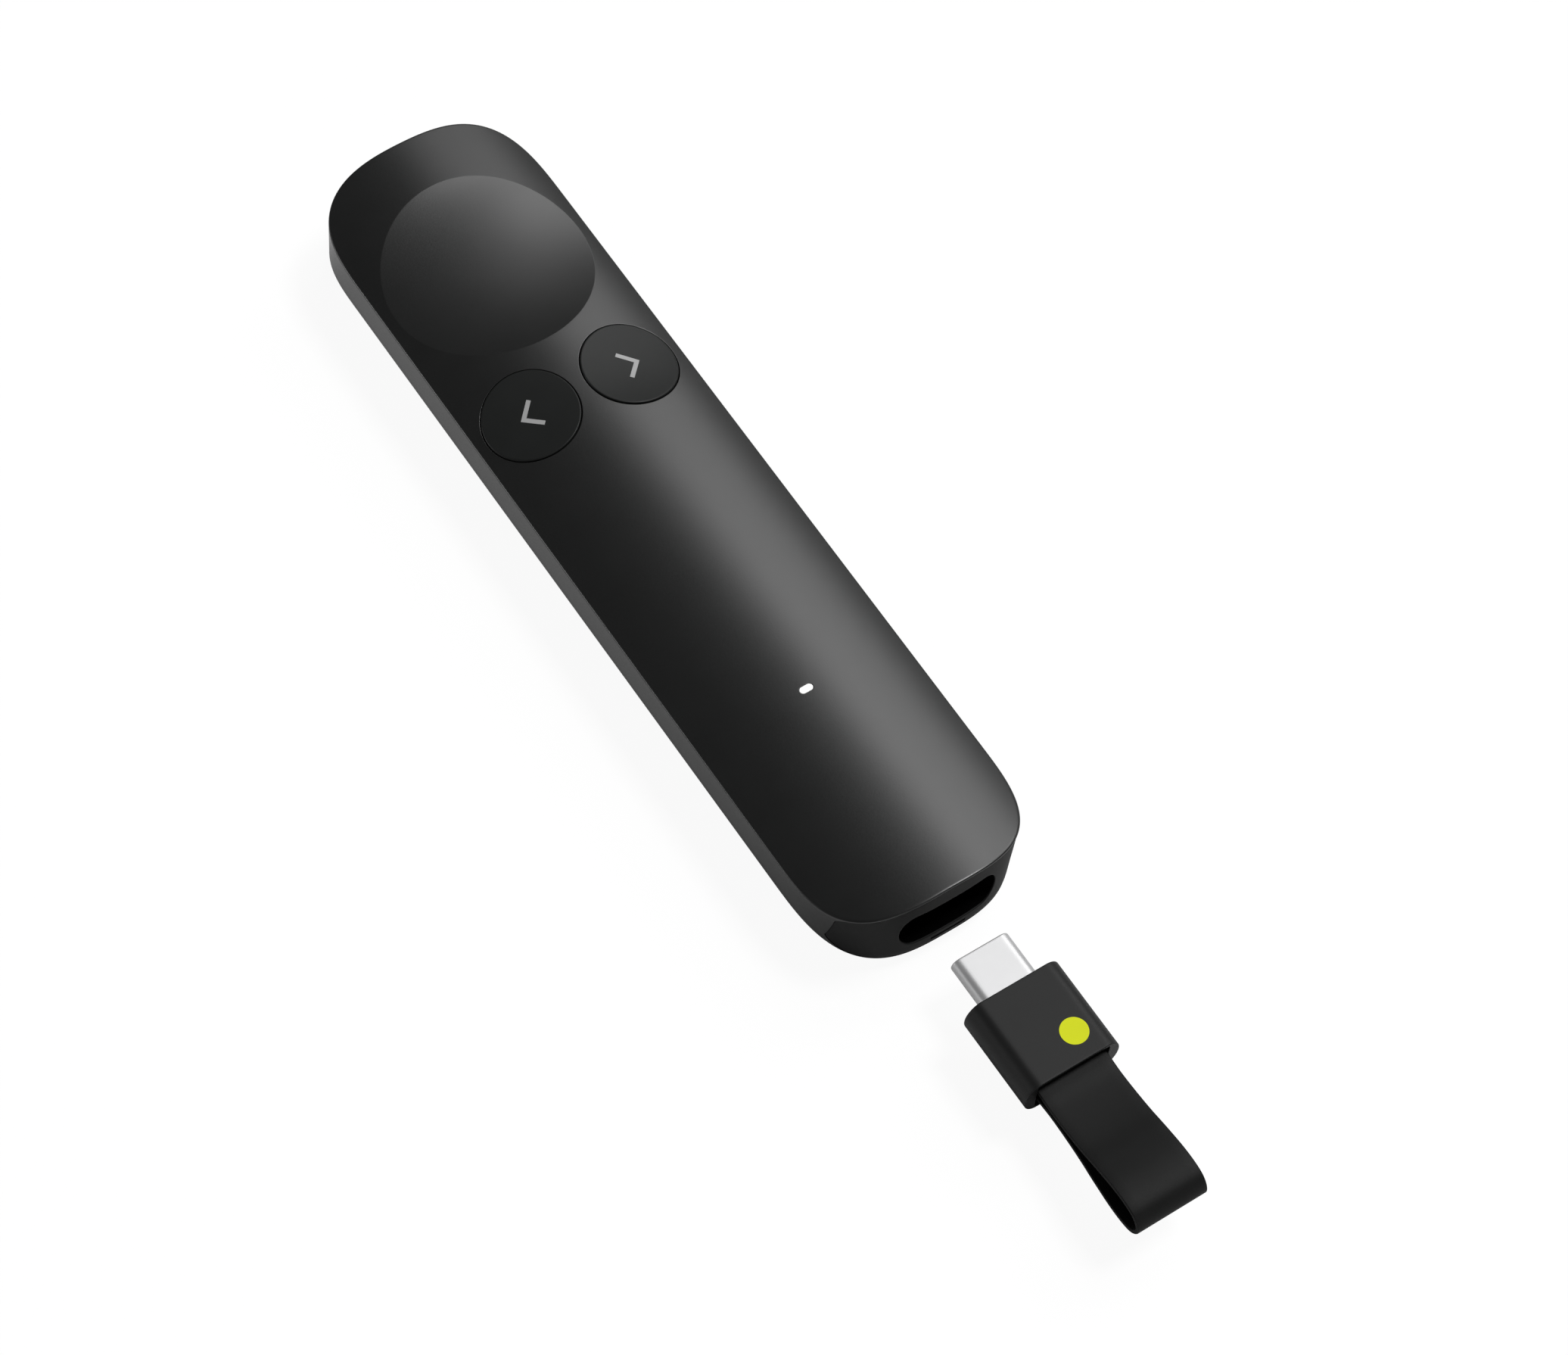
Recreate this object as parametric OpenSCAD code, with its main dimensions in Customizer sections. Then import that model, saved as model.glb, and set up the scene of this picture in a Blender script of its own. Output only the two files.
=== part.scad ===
// Wireless presentation clicker with a USB-C receiver that docks in its tail.
// Millimetres. +Z is up and +Y points to the head. The origin is the centre of the flat underside.

/* [Body] */
// Width of the top edge
body_w = 30; // [28:0.5:34]
// Length of the top edge
body_l = 125.5; // [118:0.5:140]
// Height from the table to the ridge of the crown
body_h = 14; // [13.6:0.1:16]
// Rise of the crown from its side edge to its ridge
crown_rise = 3.35; // [2.8:0.05:3.8]
// How far the side walls lean in from the top edge to the knuckle
side_lean = 0.85; // [0.4:0.05:1.2]
// How far the two end walls lean out from the top edge to the knuckle
end_lean = 0.48; // [0:0.02:0.8]
// Height of the knuckle, where the walls meet the round of the underside
knuckle_z = 3.2; // [2.8:0.1:3.6]
// Length of the rounded head of the top edge
head_round = 16.1; // [13:0.1:20]
// Length of the rounded head at the knuckle
head_round_low = 12.8; // [11:0.1:18]
// Squareness of the head's outline
head_power = 3.36; // [2.4:0.02:4]
// Length of the rounded tail of the top edge
tail_round = 15; // [13:0.1:20]
// Length of the rounded tail at the knuckle
tail_round_low = 16.8; // [13:0.1:20]
// Squareness of the tail's outline
tail_power = 3.03; // [2.4:0.01:4]
// Thickness of the side walls
wall_t = 1.2; // [1:0.05:1.3]
// Thickness of the roof
roof_t = 1.3; // [1:0.05:1.5]
// Thickness of the underside
floor_t = 1.2; // [1:0.05:1.4]
// Height of the line where the bottom cover meets the upper shell
parting_z = 2.4; // [2:0.1:2.6]

/* [Pointer dish] */
// Radius of the dish at its rim
dish_r = 13.59; // [12:0.1:13.9]
// Distance of the dish's centre from the head end of the top edge
dish_from_head = 21.43; // [19:0.1:24]
// Depth of the dish below the crown
dish_depth = 1.4; // [1:0.1:2.8]
// Least thickness of the wall under the dish
dish_wall = 1.3; // [1:0.1:1.4]

/* [Buttons] */
// Radius of a button's cap
button_r = 6.24; // [5.4:0.02:6.3]
// Distance of each button's centre from the middle line
button_x = 7.27; // [7.2:0.01:7.3]
// Distance of the buttons' centres from the head end of the top edge
button_from_head = 43.24; // [42.5:0.1:46]
// How far a cap stands above the crown
button_proud = 0.2; // [0:0.05:0.4]
// How far a button travels when it is pressed
button_travel = 0.3; // [0.15:0.05:0.35]
// Width of the ledge that keeps a button in the shell
button_ledge = 0.7; // [0.4:0.05:0.75]
// Stroke of the direction mark
mark_stroke = 0.6; // [0.4:0.05:0.8]
// Length of each arm of the direction mark, along its outer edge
mark_arm = 3.1; // [2:0.1:4]
// Depth of the direction mark's inlay
mark_depth = 0.25; // [0.15:0.05:0.4]

/* [Status light] */
// Length of the light's window
light_l = 1.77; // [1.2:0.05:3]
// Width of the light's window
light_w = 0.9; // [0.6:0.05:1.5]
// Distance of the light from the tail end of the top edge
light_from_tail = 31.5; // [29:0.5:34]

/* [Tail cap] */
// Width of the tail cap
tail_cap_w = 26.6; // [24:0.2:27]
// How far the tail cap's face lies inside the shell's outline
tail_cap_recess = 0.05; // [0:0.05:0.6]
// Thickness of the tail cap
tail_cap_t = 1.75; // [1.4:0.05:2]
// Length of the tail cap, round the corners of the tail
tail_cap_l = 7.5; // [6:0.1:9]
// Radius of the tail cap's upper corners
tail_cap_round = 1.6; // [0.5:0.1:2.5]
// Radius of the tail cap's lower corners
tail_cap_low_round = 2; // [0.5:0.1:3]
// Thickness of the roof's lip over the tail cap
tail_lip = 0.3; // [0.2:0.05:0.6]
// Width of the pull notch in the tail cap
notch_w = 5; // [3:0.5:8]
// Height of the pull notch
notch_h = 0.45; // [0.3:0.05:0.6]
// How far the pull notch lies above the parting line
notch_rise = 0.8; // [0.6:0.05:1]
// Depth of the collar behind the tail cap's slot
collar_l = 3.2; // [2.8:0.1:4]

/* [Receiver] */
// Width of the receiver's head
head_w = 13.6; // [12.5:0.1:14.5]
// Height of the receiver's head
head_h = 6.1; // [5.4:0.1:6.3]
// Length of the receiver's head
head_l = 12.63; // [11:0.1:14]
// Horizontal radius of the head's rounded sides
head_side_r = 2.1; // [1.6:0.1:2.6]
// Thickness of the head's walls
head_wall = 0.9; // [0.7:0.05:1]
// Depth of the dock's axis below the ridge of the crown
dock_below_crown = 6.4; // [6.2:0.05:6.5]
// How far the receiver is drawn out of its dock
dock_travel = 25.2; // [22:0.1:30]
// How far the docked head stands out of the tail
dock_proud = 0.15; // [0:0.05:0.5]
// Clearance round the docked head
dock_gap = 0.17; // [0.1:0.01:0.25]
// Thickness of the pocket's wall
pocket_wall = 0.8; // [0.6:0.05:0.9]
// Width of the plug's metal shell
plug_w = 8.25; // [8.2:0.01:8.3]
// Height of the plug's metal shell
plug_h = 2.4; // [2.36:0.01:2.44]
// Length of the plug that stands out of the head
plug_l = 6.7; // [6.5:0.05:6.75]
// Thickness of the plug's sheet metal
plug_wall = 0.3; // [0.25:0.01:0.32]
// Radius of the accent dot
dot_r = 1.8; // [1:0.1:2]
// Distance of the accent dot from the middle line
dot_x = 2.5; // [0:0.1:2.8]
// Distance of the accent dot from the rear of the head
dot_from_rear = 3.7; // [3:0.1:6]

/* [Strap] */
// Width of the strap
strap_w = 10; // [7:0.5:10.5]
// Thickness of the strap
strap_t = 0.6; // [0.4:0.05:0.7]
// Length of the strap's loop behind the head
strap_l = 20.3; // [16:0.1:30]
// Greatest height of the loop, outside
strap_loop_h = 5.2; // [4.4:0.1:5.4]
// Radius of the pin that holds the strap
strap_pin_r = 0.6; // [0.5:0.05:0.7]
// Distance of the pin from the rear of the head
strap_pin_from_rear = 1.7; // [1.6:0.1:2]
// Height of the strap's mouth in the head
strap_mouth_h = 5.2; // [4.4:0.1:5.3]

/* [Electronics] */
// Width of the main board
board_w = 24.6; // [24:0.1:25]
// Thickness of the main board
board_t = 0.8; // [0.6:0.05:1]
// Radius of the board screws' shanks
screw_r = 0.6; // [0.5:0.02:0.7]
// Length of the board screws' shanks
screw_l = 3.4; // [2.5:0.1:3.6]
// Radius of the screw bosses
boss_r = 1.6; // [1.3:0.05:1.7]
// Width of a button's switch
switch_w = 4.5; // [3.5:0.1:5]
// Height of a button's switch
switch_h = 1.6; // [1.3:0.05:1.65]
// Radius of the pointer's touch sensor
sensor_r = 10.5; // [8:0.5:11]
// Thickness of the pointer's touch sensor
sensor_t = 0.45; // [0.3:0.05:0.6]

/* [Battery] */
// Width of the battery
battery_w = 20; // [16:0.5:21]
// Length of the battery
battery_l = 50; // [40:1:54]
// Space between the battery and the main board
battery_space = 1.3; // [1.2:0.1:2]
// Thickness of the foam under the battery
foam_t = 0.4; // [0.2:0.05:0.45]

/* [Vibration motor] */
// Radius of the vibration motor's case
motor_r = 5; // [4:0.1:6]
// Height of the vibration motor's case
motor_h = 3; // [2.7:0.1:3.6]
// Thickness of the case's sheet metal
motor_wall = 0.25; // [0.2:0.01:0.3]
// Radius of the motor's shaft
motor_shaft_r = 0.4; // [0.3:0.02:0.5]
// Thickness of the eccentric weight
motor_weight_t = 1.3; // [0.8:0.1:1.6]

/* [Hidden] */

shell_color = "#3c3c3d";
dark_color = "#1d1d1e";
mark_color = "#a5a5a5";
metal_color = "#d8d8d8";
board_color = "#17452b";
brass_color = "#c8a24a";
black_plastic = "#141414";
accent_color = "#d7df23";

fine = 0.05;            // gap between pieces that are glued or pressed together
tight = 0.01;           // gap between pieces that are pressed into each other
loose = 0.1;            // gap between pieces that are put together by hand
over = 1;               // how far a cutting tool runs past what it cuts
curve_fn = 96;          // segments of a round that is seen
small_fn = 40;          // segments of a small round
crown_fn = 360;         // segments of the crown's long radius
end_steps = 32;         // steps along each rounded end
round_steps = 5;        // steps round the underside's edge
corner_steps = 6;       // steps round each corner of the tail cap
lip_steps = 24;         // steps along the tail cap's upper edge
reach = 1.35;           // how far the lofted walls run up past the crown

crown_r = (pow(body_w / 2, 2) + pow(crown_rise, 2)) / (2 * crown_rise);
crown_axis_z = body_h - crown_r;
head_y = body_l / 2;
tail_y = -body_l / 2;
knuckle_w = body_w - 2 * side_lean;

dish_y = head_y - dish_from_head;
dish_lowest_z = body_h - dish_depth;
dish_back_z = min(dish_lowest_z - dish_wall, crown_z(sensor_r) - roof_t);
dish_rings = 8;
dish_steps = 60;
dish_collar = 1;        // width of the solid round the dish
dish_overrun = 0.4;     // how far the dish's cutting surface runs past its rim

button_y = head_y - button_from_head;
button_gap = 0.13;
button_ledge_gap = 0.3;
button_side_t = 1.04;   // thickness of a button's round wall
button_top_t = 3.1;     // from the top of its hollow to the crown's ridge
button_skirt_l = 0.45;  // how far a button hangs below the roof's lowest edge
button_bore_low_z = body_h - crown_rise - roof_t;
button_low_z = button_bore_low_z - button_skirt_l;
button_cap_rise = 0.6;
button_cap_low_z = button_bore_low_z + button_cap_rise;
button_side_gap = 0.55; // from a button's ledge to the side wall
button_skirt_x = body_w / 2 - wall_t - button_side_gap;
button_hollow_r = button_r - button_side_t;
button_hollow_top_z = body_h - button_top_t;
mark_reach = 1.5;       // distance of the mark's point from the button's centre
mark_proud = 0.02;

dock_z = body_h - dock_below_crown;
board_top_z = dock_z + board_t / 2;
board_low_z = dock_z - board_t / 2;
board_from_head = 3.75;
board_head_y = head_y - board_from_head;
board_head_round = 12;
board_power = 3;
switch_top_z = board_top_z + switch_h;
plunger_r = 1;
plunger_depth = 0.3;
plunger_slack = 0.15;
plunger_rise = button_travel + plunger_slack;
plunger_top_z = switch_top_z + plunger_rise;
plunger_hole_depth = plunger_depth + plunger_rise;
button_post_r = plunger_r + loose;

light_y = tail_y + light_from_tail;
led_size = [1.6, 0.8, 0.55];
light_collar = 0.7;
light_collar_t = 0.7;
light_collar_gap = 0.2;
light_collar_top_z = body_h - roof_t - light_collar_gap;

// The tail wall leans, so its face at the dock's height is found along the lean
wall_share = (dock_z - knuckle_z) / (body_h - knuckle_z);
tail_face_y = tail_y - end_lean * (1 - wall_share);
tail_cap_face_y = tail_face_y + tail_cap_recess;
docked_rear_y = tail_cap_face_y - dock_proud;
head_rear_y = docked_rear_y - dock_travel;
head_front_y = head_rear_y + head_l;
plug_tip_y = head_front_y + plug_l;
pocket_end_gap = 0.2;
pocket_end_y = docked_rear_y + head_l + pocket_end_gap;
pocket_end_t = 0.8;
collar_end_y = tail_cap_face_y + collar_l;
slot_w = head_w + 2 * dock_gap;
slot_h = head_h + 2 * dock_gap;
slot_side_r = head_side_r + dock_gap;
side_steps = 12;        // steps along each rounded side of the head's profile

receptacle_gap = 0.1;
receptacle_wall = 0.25;
receptacle_in_w = plug_w + 2 * receptacle_gap;
receptacle_in_h = plug_h + 2 * receptacle_gap;
receptacle_out_w = receptacle_in_w + 2 * receptacle_wall;
receptacle_out_h = receptacle_in_h + 2 * receptacle_wall;
docked_tip_y = plug_tip_y + dock_travel;
receptacle_block_y = docked_tip_y + loose;
receptacle_block_l = 0.9;
receptacle_end_y = receptacle_block_y + receptacle_block_l;
tongue_w = 6.6;
tongue_t = 0.7;
tongue_l = 4.6;
plug_root_l = 1.8;      // length of the plug inside the head
plug_lip = 0.35;        // how far the plug's insert lies inside its shell
plug_slot_w = tongue_w + 3 * loose;
plug_slot_h = tongue_t + 5 * fine;
plug_slot_l = tongue_l + 5 * loose;

board_tail_y = pocket_end_y + pocket_end_t + loose;
board_cut_w = receptacle_out_w + 2 * loose;
screw_head_r = 1.25;
screw_head_h = 0.9;
screw_hole_gap = 0.2;
screw_hole_r = screw_r + screw_hole_gap;
screw_bore_r = screw_r + 2 * tight;
screw_from_side = 2.1;
screw_from_tail = 22.5;
screw_from_head = 5.8;
screw_x = board_w / 2 - screw_from_side;
screw_tail_y = tail_y + screw_from_tail;
screw_middle_y = 4.5;
screw_head_y = head_y - screw_from_head;
screw_places = [
    [-screw_x, screw_tail_y], [screw_x, screw_tail_y], [-screw_x, screw_middle_y],
    [screw_x, screw_middle_y], [0, screw_head_y]
];
radio_y = -14;
radio_size = [5, 5, 0.85];
shield_size = [12, 13, 1.7];
shield_t = 0.2;
antenna_size = [3.2, 1.6, 1.2];
antenna_x = 9.2;
antenna_from_edge = 2.2;

sensor_top_z = dish_back_z - fine;
connector_size = [5.6, 2.2, 1];
flex_w = 4;
flex_t = 0.15;
flex_y = dish_y - sensor_r - flex_t - 2 * fine;

battery_y = -12;        // middle of the battery
battery_low_z = floor_t + foam_t;
battery_head_y = battery_y + battery_l / 2;
battery_t = board_low_z - battery_space - battery_low_z;
foam_margin = 1;
lead_r = 0.35;
lead_x = 0.6;
battery_connector_size = [5, 3, 2];
battery_connector_gap = 3;
battery_connector_y = battery_head_y + battery_connector_gap;

motor_from_head = 26.5;
motor_y = head_y - motor_from_head;
motor_low_z = floor_t + fine;
motor_base_t = 0.3;
motor_inner_r = motor_r - motor_wall;
rotor_gap = 0.3;
rotor_low_z = motor_low_z + motor_base_t + rotor_gap;
rotor_r = motor_inner_r - rotor_gap;
rotor_hub_r = 1.1;
rotor_bore_r = motor_shaft_r + fine;
motor_lead_bend = 1.2;
motor_lead_y = motor_y - motor_r - motor_lead_bend;

lip_t = 0.8;
lip_gap = 0.3;
lip_rise = 0.9;
lip_top_z = knuckle_z + lip_rise;
lip_from_tail = 17;
lip_tail_y = tail_y + lip_from_tail;
hook_l = 4;
hook_h = 0.6;
hook_out = 0.35;
hook_top_z = lip_top_z - loose;
hook_places = [-30, 5, 40];

strap_play = 0.3;
strap_mouth_w = strap_w + strap_play;
strap_mouth_l = 3.4;
strap_pin_y = head_rear_y + strap_pin_from_rear;
strap_pin_seat = 0.5;    // how far the pin reaches into the head's wall at each side
strap_pin_l = strap_mouth_w + 2 * strap_pin_seat;
head_partition_t = 0.6;
receiver_board_size = [10.6, 5.4, 0.6];
dot_t = 0.2;
dot_proud = 0.02;

// Half of the strap's loop, seen from its edge, from the pin to the far end of the loop.
// Each point is a share of the loop's length and a share of its half height.
strap_half = [
    [0.05, 0.37], [0.12, 0.28], [0.21, 0.21], [0.34, 0.28], [0.48, 0.46], [0.62, 0.76], [0.77, 1],
    [0.89, 0.98], [0.965, 0.69]
];
strap_spline_steps = 4;

// A number raised to a power with its sign kept
function signed_pow(v, e) = sign(v) * pow(abs(v), e);

// One rounded end of an outline: half_w wide each way, depth long, from y0 towards way (1 head, -1 tail)
function end_points(half_w, depth, power, y0, way) = [
    for (i = [0 : end_steps])
        let (a = 180 * i / end_steps)
        [-way * half_w * signed_pow(cos(a), 2 / power), y0 + way * depth * pow(sin(a), 2 / power)]
];

// A closed outline of the body with its rounded head and tail
function outline(half_w, head_end, head_depth, tail_end, tail_depth) = concat(
    end_points(half_w, head_depth, head_power, head_end - head_depth, 1),
    end_points(half_w, tail_depth, tail_power, tail_end + tail_depth, -1)
);

// The outline at the top edge and at the knuckle, drawn in by inset
function top_outline(inset) = outline(
    body_w / 2 - inset, head_y - inset, head_round - inset, tail_y + inset, tail_round - inset
);
function knuckle_outline(inset) = outline(
    knuckle_w / 2 - inset, head_y + end_lean - inset, head_round_low - inset,
    tail_y - end_lean + inset, tail_round_low - inset
);

// Height of the crown at x
function crown_z(x) = crown_axis_z + sqrt(pow(crown_r, 2) - pow(x, 2));

// A flat outline set at one height, and the wall's points run on past the crown
function level(points, z) = [for (p = points) [p[0], p[1], z]];
function wall_top(inset) =
    let (top = top_outline(inset))
    let (low = knuckle_outline(inset))
    [for (i = [0 : len(top) - 1])
        let (from = [low[i][0], low[i][1], knuckle_z])
        let (to = [top[i][0], top[i][1], crown_z(top[i][0])])
        from + reach * (to - from)];

// The body's lofted form, drawn in by inset, with its underside at low_z
module body_loft(inset, low_z) {
    round_r = knuckle_z - low_z;
    rounds = [
        for (k = [0 : round_steps])
            let (a = 90 * k / round_steps)
            level(knuckle_outline(inset + round_r * (1 - sin(a))), low_z + round_r * (1 - cos(a)))
    ];
    levels = concat(rounds, [wall_top(inset)]);
    count = len(levels[0]);
    last = len(levels) - 1;
    points = concat([for (ring = levels) for (p = ring) p], [[0, 0, body_h * 1.5]]);
    apex = len(points) - 1;
    sides = [
        for (k = [0 : last - 1]) for (i = [0 : count - 1])
            let (j = (i + 1) % count)
            each [
                [k * count + i, k * count + j, (k + 1) * count + i],
                [k * count + j, (k + 1) * count + j, (k + 1) * count + i]
            ]
    ];
    underside = [[for (i = [count - 1 : -1 : 0]) i]];
    lid = [for (i = [0 : count - 1]) [last * count + i, last * count + (i + 1) % count, apex]];
    polyhedron(points = points, faces = concat(sides, underside, lid), convexity = 6);
}

// The long round bar whose upper side is the crown, sunk by drop
module crown_bar(drop) {
    translate([0, -body_l, crown_axis_z])
        rotate([-90, 0, 0])
            cylinder(r = crown_r - drop, h = 2 * body_l, $fn = crown_fn);
}

// The body's solid form, drawn in by inset at the walls and by drop at the roof
module body_form(inset, low_z, drop) {
    intersection() {
        body_loft(inset, low_z);
        crown_bar(drop);
    }
}

// A block between two heights that is larger than the body in plan
module slab(z0, z1) {
    translate([-body_w, -body_l, z0])
        cube([2 * body_w, 2 * body_l, z1 - z0]);
}

// A rectangle with half-round ends, w wide, centred on the origin
module pill_2d(w, h) {
    square([w - h, h], center = true);
    for (side = [-1, 1])
        translate([side * (w - h) / 2, 0])
            circle(d = h, $fn = small_fn);
}

// The receiver's profile: flat top and bottom, and sides that are half an ellipse
function head_profile(w, h, side_r) = [
    for (side = [1, -1]) for (i = [0 : side_steps])
        let (a = -90 + 180 * i / side_steps)
        [side * (w / 2 - side_r + side_r * cos(a)), side * h / 2 * sin(a)]
];

// Extrudes a profile drawn in X and Z along +Y from y0 to y1
module along_y(y0, y1) {
    translate([0, y1, 0])
        rotate([90, 0, 0])
            linear_extrude(height = y1 - y0, convexity = 6)
                children();
}

module head_bar(w, h, side_r, y0, y1) {
    translate([0, 0, dock_z])
        along_y(y0, y1)
            polygon(head_profile(w, h, side_r));
}

module dock_pill(w, h, y0, y1) {
    translate([0, 0, dock_z])
        along_y(y0, y1)
            pill_2d(w, h);
}

// A box centred on x and y that stands on z
module block(size, x, y, z) {
    translate([x - size[0] / 2, y - size[1] / 2, z])
        cube(size);
}

// What is cut away above the dish: its underside follows the crown, sunk most at its centre
module dish_cutter() {
    outer = dish_r + dish_overrun;
    function dish_point(r, a) =
        let (x = r * cos(a))
        [x, dish_y + r * sin(a), crown_z(x) - dish_depth * (1 - pow(r / dish_r, 2))];
    rings = [
        for (k = [1 : dish_rings]) for (i = [0 : dish_steps - 1])
            dish_point(outer * k / dish_rings, 360 * i / dish_steps)
    ];
    points = concat(rings, [dish_point(0, 0), [0, dish_y, 1.5 * body_h]]);
    rim = (dish_rings - 1) * dish_steps;
    middle = len(points) - 2;
    apex = len(points) - 1;
    skirt = [
        for (k = [0 : dish_rings - 2]) for (i = [0 : dish_steps - 1])
            let (j = (i + 1) % dish_steps)
            let (a = k * dish_steps)
            let (b = (k + 1) * dish_steps)
            each [[a + i, b + i, a + j], [a + j, b + i, b + j]]
    ];
    centre = [for (i = [0 : dish_steps - 1]) [middle, i, (i + 1) % dish_steps]];
    lid = [for (i = [0 : dish_steps - 1]) [apex, rim + (i + 1) % dish_steps, rim + i]];
    polyhedron(points = points, faces = concat(skirt, centre, lid), convexity = 4);
}

module boss_cylinders(r, z0, z1) {
    for (place = screw_places)
        translate([place[0], place[1], z0])
            cylinder(r = r, h = z1 - z0, $fn = small_fn);
}

// The space inside the shell, less the dish's backing and the screw bosses
module shell_cavity() {
    difference() {
        body_form(wall_t, floor_t, roof_t);
        translate([0, dish_y, dish_back_z])
            cylinder(r = dish_r + dish_collar, h = body_h, $fn = curve_fn);
        boss_cylinders(boss_r, board_top_z, body_h + over);
    }
}

// An arc of radius r round (x, z), from angle from to angle to
function arc(x, z, r, from, to) = [
    for (i = [0 : corner_steps])
        let (a = from + (to - from) * i / corner_steps)
        [x + r * cos(a), z + r * sin(a)]
];

// The tail cap's outline in X and Z: its upper edge runs along the crown, and its corners are round
function cap_points(gap) =
    let (half = tail_cap_w / 2 - gap)
    let (r = tail_cap_round - gap)
    let (low_r = tail_cap_low_round - gap)
    let (low_z = parting_z + gap)
    let (end_a = 90 - asin((half - r) / crown_r))
    let (end_x = half - r + r * cos(end_a))
    let (end_z = crown_z(end_x) - tail_lip - gap)
    let (side_z = end_z - r * sin(end_a))
    concat(
        arc(half - low_r, low_z + low_r, low_r, -90, 0),
        arc(half - r, side_z, r, 0, end_a),
        [for (i = [1 : lip_steps - 1])
            let (x = end_x * (1 - 2 * i / lip_steps))
            [x, crown_z(x) - tail_lip - gap]],
        arc(r - half, side_z, r, 180 - end_a, 180),
        arc(low_r - half, low_z + low_r, low_r, 180, 270)
    );

// The space at the tail that the tail cap fills, drawn in all round by gap
module tail_space(gap) {
    difference() {
        along_y(tail_y - body_w / 2, tail_y + tail_cap_l - gap)
            polygon(cap_points(gap));
        linear_extrude(height = 2 * body_h)
            polygon(top_outline(tail_cap_recess + tail_cap_t + loose - gap));
    }
}

// The notch low in the tail cap, which a fingernail pulls the cap out by
module pull_notch() {
    translate([-notch_w / 2, tail_y - over, parting_z + notch_rise])
        cube([notch_w, over + wall_t, notch_h]);
}

// The snap hooks of the bottom cover, grown by gap
module hooks(gap) {
    lean_x = side_lean * (hook_top_z - knuckle_z) / (body_h - crown_rise - knuckle_z);
    from_x = knuckle_w / 2 - wall_t - lip_gap - lip_t / 2;
    to_x = knuckle_w / 2 - wall_t + lean_x + hook_out + gap;
    for (side = [0, 1]) for (y = hook_places)
        mirror([side, 0, 0])
            translate([from_x, y - hook_l / 2 - gap, hook_top_z - hook_h - gap])
                cube([to_x - from_x, hook_l + 2 * gap, hook_h + 2 * gap]);
}

module upper_shell() {
    color(shell_color)
        difference() {
            intersection() {
                body_form(0, 0, 0);
                slab(parting_z, body_h + over);
            }
            shell_cavity();
            dish_cutter();
            for (side = [-1, 1])
                translate([side * button_x, button_y, button_bore_low_z])
                    cylinder(r = button_r + button_gap, h = body_h, $fn = curve_fn);
            translate([0, light_y, light_collar_top_z])
                linear_extrude(height = body_h)
                    pill_2d(light_l + 2 * fine, light_w + 2 * fine);
            tail_space(0);
            hooks(loose);
            boss_cylinders(screw_bore_r, 0, board_low_z + screw_l + fine);
        }
}

module bottom_cover() {
    color(shell_color) {
        difference() {
            intersection() {
                body_loft(0, 0);
                slab(-over, parting_z);
            }
            body_loft(wall_t, floor_t);
        }
        translate([0, 0, floor_t - fine])
            linear_extrude(height = lip_top_z - floor_t + fine)
                difference() {
                    polygon(knuckle_outline(wall_t + lip_gap));
                    polygon(knuckle_outline(wall_t + lip_gap + lip_t));
                    translate([-body_w, lip_tail_y - body_l])
                        square([2 * body_w, body_l]);
                }
        hooks(0);
    }
}

module tail_cap() {
    color(dark_color)
        difference() {
            union() {
                intersection() {
                    body_loft(tail_cap_recess, 0);
                    tail_space(loose);
                }
                head_bar(slot_w + 2 * pocket_wall, slot_h + 2 * pocket_wall, slot_side_r + pocket_wall,
                    tail_cap_face_y + tail_cap_t / 2, collar_end_y);
            }
            head_bar(slot_w, slot_h, slot_side_r, tail_y - body_w, head_y);
            pull_notch();
        }
}

module pocket_liner() {
    color(black_plastic)
        difference() {
            head_bar(slot_w + 2 * pocket_wall, slot_h + 2 * pocket_wall, slot_side_r + pocket_wall,
                collar_end_y, pocket_end_y + pocket_end_t);
            head_bar(slot_w, slot_h, slot_side_r, tail_y, pocket_end_y);
            dock_pill(receptacle_out_w + 2 * fine, receptacle_out_h + 2 * fine, tail_y, head_y);
        }
}

// The outline of a direction mark that points to +X, with its arms at right angles
module mark_2d() {
    arm = mark_arm / sqrt(2);
    stroke = mark_stroke / sqrt(2);
    inner = mark_reach - 2 * stroke;
    polygon([
        [mark_reach, 0], [mark_reach - arm, arm], [mark_reach - arm - stroke, arm - stroke],
        [inner, 0], [mark_reach - arm - stroke, stroke - arm], [mark_reach - arm, -arm]
    ]);
}

// The bar that a direction mark is cut with, on the side given by 1 or -1
module mark_bar(side) {
    translate([side * button_x, button_y, 0])
        mirror([side < 0 ? 1 : 0, 0, 0])
            linear_extrude(height = 2 * body_h)
                mark_2d();
}

// A button: a cap that follows the crown, and a skirt with a ledge that stays under the roof
module button(side) {
    color(dark_color)
        difference() {
            union() {
                intersection() {
                    translate([side * button_x, button_y, button_cap_low_z])
                        cylinder(r = button_r, h = body_h, $fn = curve_fn);
                    crown_bar(-button_proud);
                }
                intersection() {
                    translate([side * button_x, button_y, button_low_z])
                        cylinder(r = button_r + button_ledge, h = body_h, $fn = curve_fn);
                    crown_bar(roof_t + button_ledge_gap);
                    translate([-button_skirt_x, button_y - body_w / 2, 0])
                        cube([2 * button_skirt_x, body_w, 2 * body_h]);
                }
            }
            difference() {
                translate([side * button_x, button_y, 0])
                    cylinder(r = button_hollow_r, h = button_hollow_top_z, $fn = curve_fn);
                translate([side * button_x, button_y, plunger_top_z])
                    cylinder(r = button_post_r, h = body_h, $fn = small_fn);
            }
            difference() {
                mark_bar(side);
                crown_bar(mark_depth - button_proud);
            }
        }
}

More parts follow.
